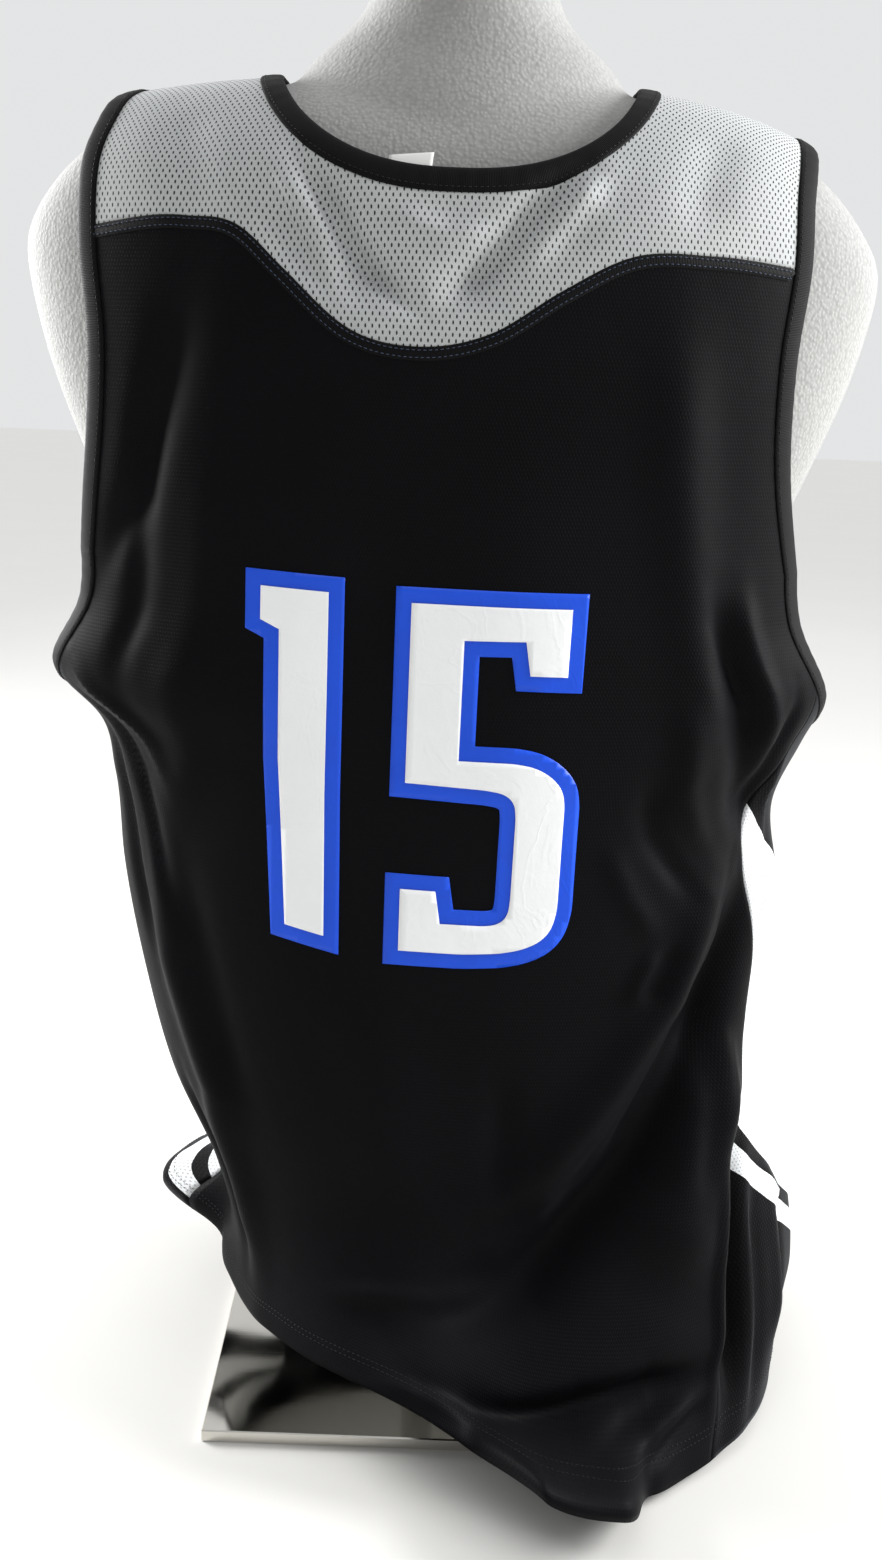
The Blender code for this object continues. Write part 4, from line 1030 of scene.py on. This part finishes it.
def pressFilm(name, outline, place, lift, *details):
    # cut flat, divided finely, then laid on the cloth along Y
    (footX, footZ), lean = place["foot"], math.radians(place["lean"])
    bm = bmesh.new()
    corners = [bm.verts.new((footX + x * math.cos(lean) - z * math.sin(lean), 0,
                             footZ + x * math.sin(lean) + z * math.cos(lean))) for x, z in outline]
    bm.faces.new(corners)
    low = [min(v.co[k] for v in corners) for k in range(3)]
    high = [max(v.co[k] for v in corners) for k in range(3)]
    for axis, normal in ((0, Vector((1, 0, 0))), (2, Vector((0, 0, 1)))):
        for value in np.arange(low[axis] + number["firstCut"], high[axis], number["mesh"]):
            parts = [*bm.verts, *bm.edges, *bm.faces]
            bmesh.ops.bisect_plane(bm, geom=parts, dist=0.00002, plane_co=normal * value, plane_no=normal)
    bmesh.ops.triangulate(bm, faces=[f for f in bm.faces if len(f.verts) > 4])
    for vert in bm.verts:
        start = Vector((vert.co.x, number["rayFrom"], vert.co.z))
        hit, normal, *_ = clothTree.ray_cast(start, Vector((0, 1, 0)))
        vert.co = hit + normal * lift
    bmesh.ops.recalc_face_normals(bm, faces=bm.faces)
    if sum(face.normal.y for face in bm.faces) > 0:
        bmesh.ops.reverse_faces(bm, faces=bm.faces)
    piece = register(name, meshFrom(name, bm), *details)
    thicken(piece, number["film"], 1)
    return piece


bm = bmesh.new()
bm.from_mesh(backPanel.data)
clothTree = BVHTree.FromBMesh(bm)
bm.free()
for digit in ("one", "five"):
    place = number[digit]
    face = softened([(x / 10000, z / 10000, *soft) for x, z, *soft in place["outline"]])
    border = grown(face, number["border"])
    for colour, part, outline in (("blue", "outline", border), ("white", "face", face)):
        pressFilm("film_%s_%s" % (digit, colour), outline, place, number[colour + "Lift"],
                               colour + "Film", colour + "_film", "number_%s_%s" % (digit, part))
print("number pressed")

tag = {
    "middle": -0.032, "width": 0.026, "low": 0.810, "high": 0.836, "seamLevel": 0.824, "slant": 0.004,
    "lift": -0.0034, "curl": 0.0016, "curlLeft": 0.4,    # share of the curl at its left edge
    "wall": 0.0005, "points": 13,
}
tagTurns = turnAt(tag["middle"] + tag["width"] / 2 * np.array((-1, 1)), np.full(2, tag["seamLevel"]))
across, up = np.meshgrid(*[np.linspace(0, 1, tag["points"])] * 2)
tagPath = joined(tagTurns[0] + (tagTurns[1] - tagTurns[0]) * across,
                 tag["low"] + (tag["high"] - tag["low"]) * up + tag["slant"] * (across - 0.5))
tagLift = tag["lift"] - tag["curl"] * up ** 2 * (tag["curlLeft"] + (1 - tag["curlLeft"]) * across)
sizeTag = laySheet("size_label", tagPath, tagLift, "label", "white_label", "size_tag")
thicken(sizeTag, tag["wall"], 0)
print("label sewn in")

form = {
    "names": ("level", "height", "half", "back", "front", "dropLeft", "dropRight"),
    # one row a level, in millimetres
    "rows": np.array([
        (170, 170, 130, -75, 80, 0, 0),
        (185, 184, 148, -88, 94, 0, 0),
        (230, 230, 160, -96, 102, 0, 0),
        (320, 320, 158, -92, 100, 0, 0),
        (440, 440, 170, -94, 102, 0, 0),
        (540, 540, 196, -100, 108, 0, 0),
        (640, 640, 240, -105, 112, 0, 0),
        (720, 720, 268, -106, 110, 4, 4),
        (780, 780, 279, -104, 104, 12, 14),
        (830, 823, 278, -97, 95, 40, 46),
        (870, 854, 271, -81, 79, 64, 74),
        (900, 872, 266, -63, 61, 80, 91),
        (930, 883, 262, -38, 37, 90, 102),
        (970, 888, 260, 0, 0, 95, 107),
    ]) / 1000,
    "shift": -0.005,
    "neckShift": -0.003,
    # height, half width, half depth
    "neck": [
        (0.838, 0.100, 0.086), (0.862, 0.103, 0.080), (0.878, 0.105, 0.073), (0.889, 0.103, 0.067),
        (0.898, 0.096, 0.063), (0.908, 0.084, 0.060), (0.920, 0.069, 0.058), (0.938, 0.058, 0.057),
        (0.970, 0.056, 0.056), (0.988, 0.055, 0.055), (0.9935, 0.050, 0.050),
    ],
    "pole": (0.985, 0.999),    # shares of the sphere's turn where the bottom closes and where its middle is
    "voxel": 0.0045,
    "smoothings": 14,
    "settle": 0.0014,          # lowered by this, to stay clear of the cloth
}


def formPoint(turn, level):
    sizes = sectionSizes(form, level)
    left, right = form["shift"] - sizes["half"], form["shift"] + sizes["half"]
    return section(turn, sizes["height"], left, right, 0.0, sizes["back"], sizes["front"],
                   shoulderDrop(turn, sizes))


def makeForm():
    # torso from a sphere, neck from stacked rings, joined by a voxel remesh
    bm = bmesh.new()
    bmesh.ops.create_uvsphere(bm, u_segments=128, v_segments=90, radius=1)
    low, high = form["rows"][0, 0], form["rows"][-1, 0]
    closing, middle = form["pole"]
    for vert in bm.verts:
        height = math.acos(max(-1, min(1, vert.co.z))) / math.pi
        if height > middle:
            vert.co = (form["shift"], 0, low)
            continue
        turn = math.degrees(math.atan2(vert.co.x, -vert.co.y))
        level = high - (high - low) * min(height / closing, 1.0)
        vert.co = Vector(formPoint(turn, level))
    rings = []
    for k, (height, half, deep) in enumerate(form["neck"]):
        place = Matrix.Translation((form["neckShift"], 0, height)) @ Matrix.Diagonal((half, deep, 1, 1))
        ring = bmesh.ops.create_circle(bm, cap_ends=k in (0, len(form["neck"]) - 1), radius=1, segments=96,
                                       matrix=place)
        rings.append(ring["verts"])
    for lower, upper in zip(rings, rings[1:]):
        bmesh.ops.bridge_loops(bm, edges=[edge for ring in (lower, upper) for edge in ringEdges(ring)])
    bmesh.ops.recalc_face_normals(bm, faces=bm.faces)
    piece = register("form_torso", meshFrom("form_torso", bm), "cover", "form_cover", "dress_form")
    voxels = piece.modifiers.new("voxels", "REMESH")
    voxels.mode = "VOXEL"
    voxels.voxel_size = form["voxel"]
    applied = bpy.data.meshes.new_from_object(piece.evaluated_get(bpy.context.evaluated_depsgraph_get()))
    piece.modifiers.remove(voxels)
    bm = bmesh.new()
    bm.from_mesh(applied)
    bpy.data.meshes.remove(applied)
    for step in range(form["smoothings"]):
        bmesh.ops.smooth_vert(bm, verts=bm.verts, factor=0.5,
                              use_axis_x=True, use_axis_y=True, use_axis_z=True)
    bmesh.ops.translate(bm, verts=bm.verts, vec=(0, 0, -form["settle"]))
    bm.to_mesh(piece.data)
    bm.free()
    piece.data.shade_smooth()
    return piece


def ringEdges(ring):
    members = set(ring)
    return {edge for vert in ring for edge in vert.link_edges if edge.other_vert(vert) in members}


torso = makeForm()
print("form made", len(torso.data.polygons))

for node, material in (("base_plate", "plate"), ("stand_post", "post")):
    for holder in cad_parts[node].material_slots:
        holder.material = materials[material]

# Cloth as it was cut
for name, (piece, width, length) in bindings.items():
    print(piece.name, "width", round(width, 4), "length", round(length, 3))

studio = {
    # floor is painted shade near the stand, farFloor the paper's own pale tone farther off
    "floor": "#C9C8C5", "farFloor": "#F0EFED", "world": "#F6F7F8",
    "behind": 0.84, "before": 0.68,    # strength of the sky behind the stand and on the number's side
    "dim": 0.42,                       # share of that light left on the left
    "acrossEnds": (-0.8, 0.1), "depthEnds": (-0.7, 0.4),    # of the directions in which the sky changes
    "floorEnds": (0.6, 3.6),           # metres from the stand between which the floor turns pale; the darker floor near the stand is painted shade against the lamps' pool of light
    # place, aim, power and size; the wide sun evens the floor
    "lamps": {
        "key": ("AREA", (1.85, 0.0, 1.25), (0, 0, 0.5), 76, {"size": 1.0}),
        "fill": ("AREA", (-1.9, 0.8, 1.2), (0, 0, 0.5), 62, {"size": 1.1}),
        "shoulder": ("AREA", (-1.0, 0.25, 0.85), (-0.27, 0, 0.72), 10, {"size": 0.4}),
        "sun": ("SUN", (-0.3, -0.6, 3.0), (0, 0, 0), 0.55, {"angle": math.radians(40)}),
    },
}
bm = bmesh.new()
bmesh.ops.create_grid(bm, x_segments=4, y_segments=4, size=14)
floor = addObject("studio_floor", meshFrom("studio_floor", bm))
floorMaterial, tree, shader = newMaterial("seamless paper", Roughness=0.9)
place = objectPlace(tree)
# floor painted darker near the stand: painted shade that tones down the lamps' light there
reach = addNode(tree, "ShaderNodeVectorMath", {0: place}, operation="LENGTH").outputs["Value"]
away = ranged(tree, reach, *studio["floorEnds"], 0.0, 1.0, "SMOOTHSTEP")
paper = mixColour(tree, away, linear(studio["floor"]), linear(studio["farFloor"]))
faint = calc(tree, "MULTIPLY", softNoise(tree, place, 3.0), 0.05)
paint(tree, shader, mixColour(tree, faint, paper, linear("#9A9896")))
floor.data.materials.append(floorMaterial)

world = bpy.data.worlds.new("studio")
world.use_nodes = True
tree = world.node_tree
sky = tree.nodes["Background"]
sky.inputs[0].default_value = linear(studio["world"])
direction = addNode(tree, "ShaderNodeTexCoord").outputs["Generated"]
across, depth, _ = addNode(tree, "ShaderNodeSeparateXYZ", {0: direction}).outputs
before = ranged(tree, across, *studio["acrossEnds"], studio["before"] * studio["dim"], studio["before"])
strength = ranged(tree, depth, *studio["depthEnds"], before, studio["behind"])
tree.links.new(strength, sky.inputs[1])
bpy.context.scene.world = world
for name, (kind, spot, aim, power, settings) in studio["lamps"].items():
    lamp = bpy.data.lights.new(name, kind)
    lamp.energy = power
    for key, value in settings.items():
        setattr(lamp, key, value)
    holder = addObject(name, lamp)
    holder.location = spot
    holder.rotation_mode = "QUATERNION"
    holder.rotation_quaternion = (Vector(aim) - Vector(spot)).to_track_quat("-Z", "Y")
bpy.context.scene.view_settings.view_transform = "Standard"

viewer = {"place": (0.0, -1.045, 0.71), "pitch": 15.3, "roll": 2.2, "lens": 34.615}
pitch, roll = math.radians(viewer["pitch"]), math.radians(viewer["roll"])
ahead = Vector((0, math.cos(pitch), -math.sin(pitch)))
level = Vector((1, 0, 0))
above = level.cross(ahead)
sideways = level * math.cos(roll) + above * math.sin(roll)
upwards = above * math.cos(roll) - level * math.sin(roll)
turned = Matrix((sideways, upwards, -ahead)).transposed().to_4x4()
camera = addObject("viewer", bpy.data.cameras.new("viewer"))
camera.data.lens = viewer["lens"]
camera.matrix_world = Matrix.Translation(viewer["place"]) @ turned
bpy.context.scene.camera = camera
print("studio set")

bpy.context.view_layer.update()
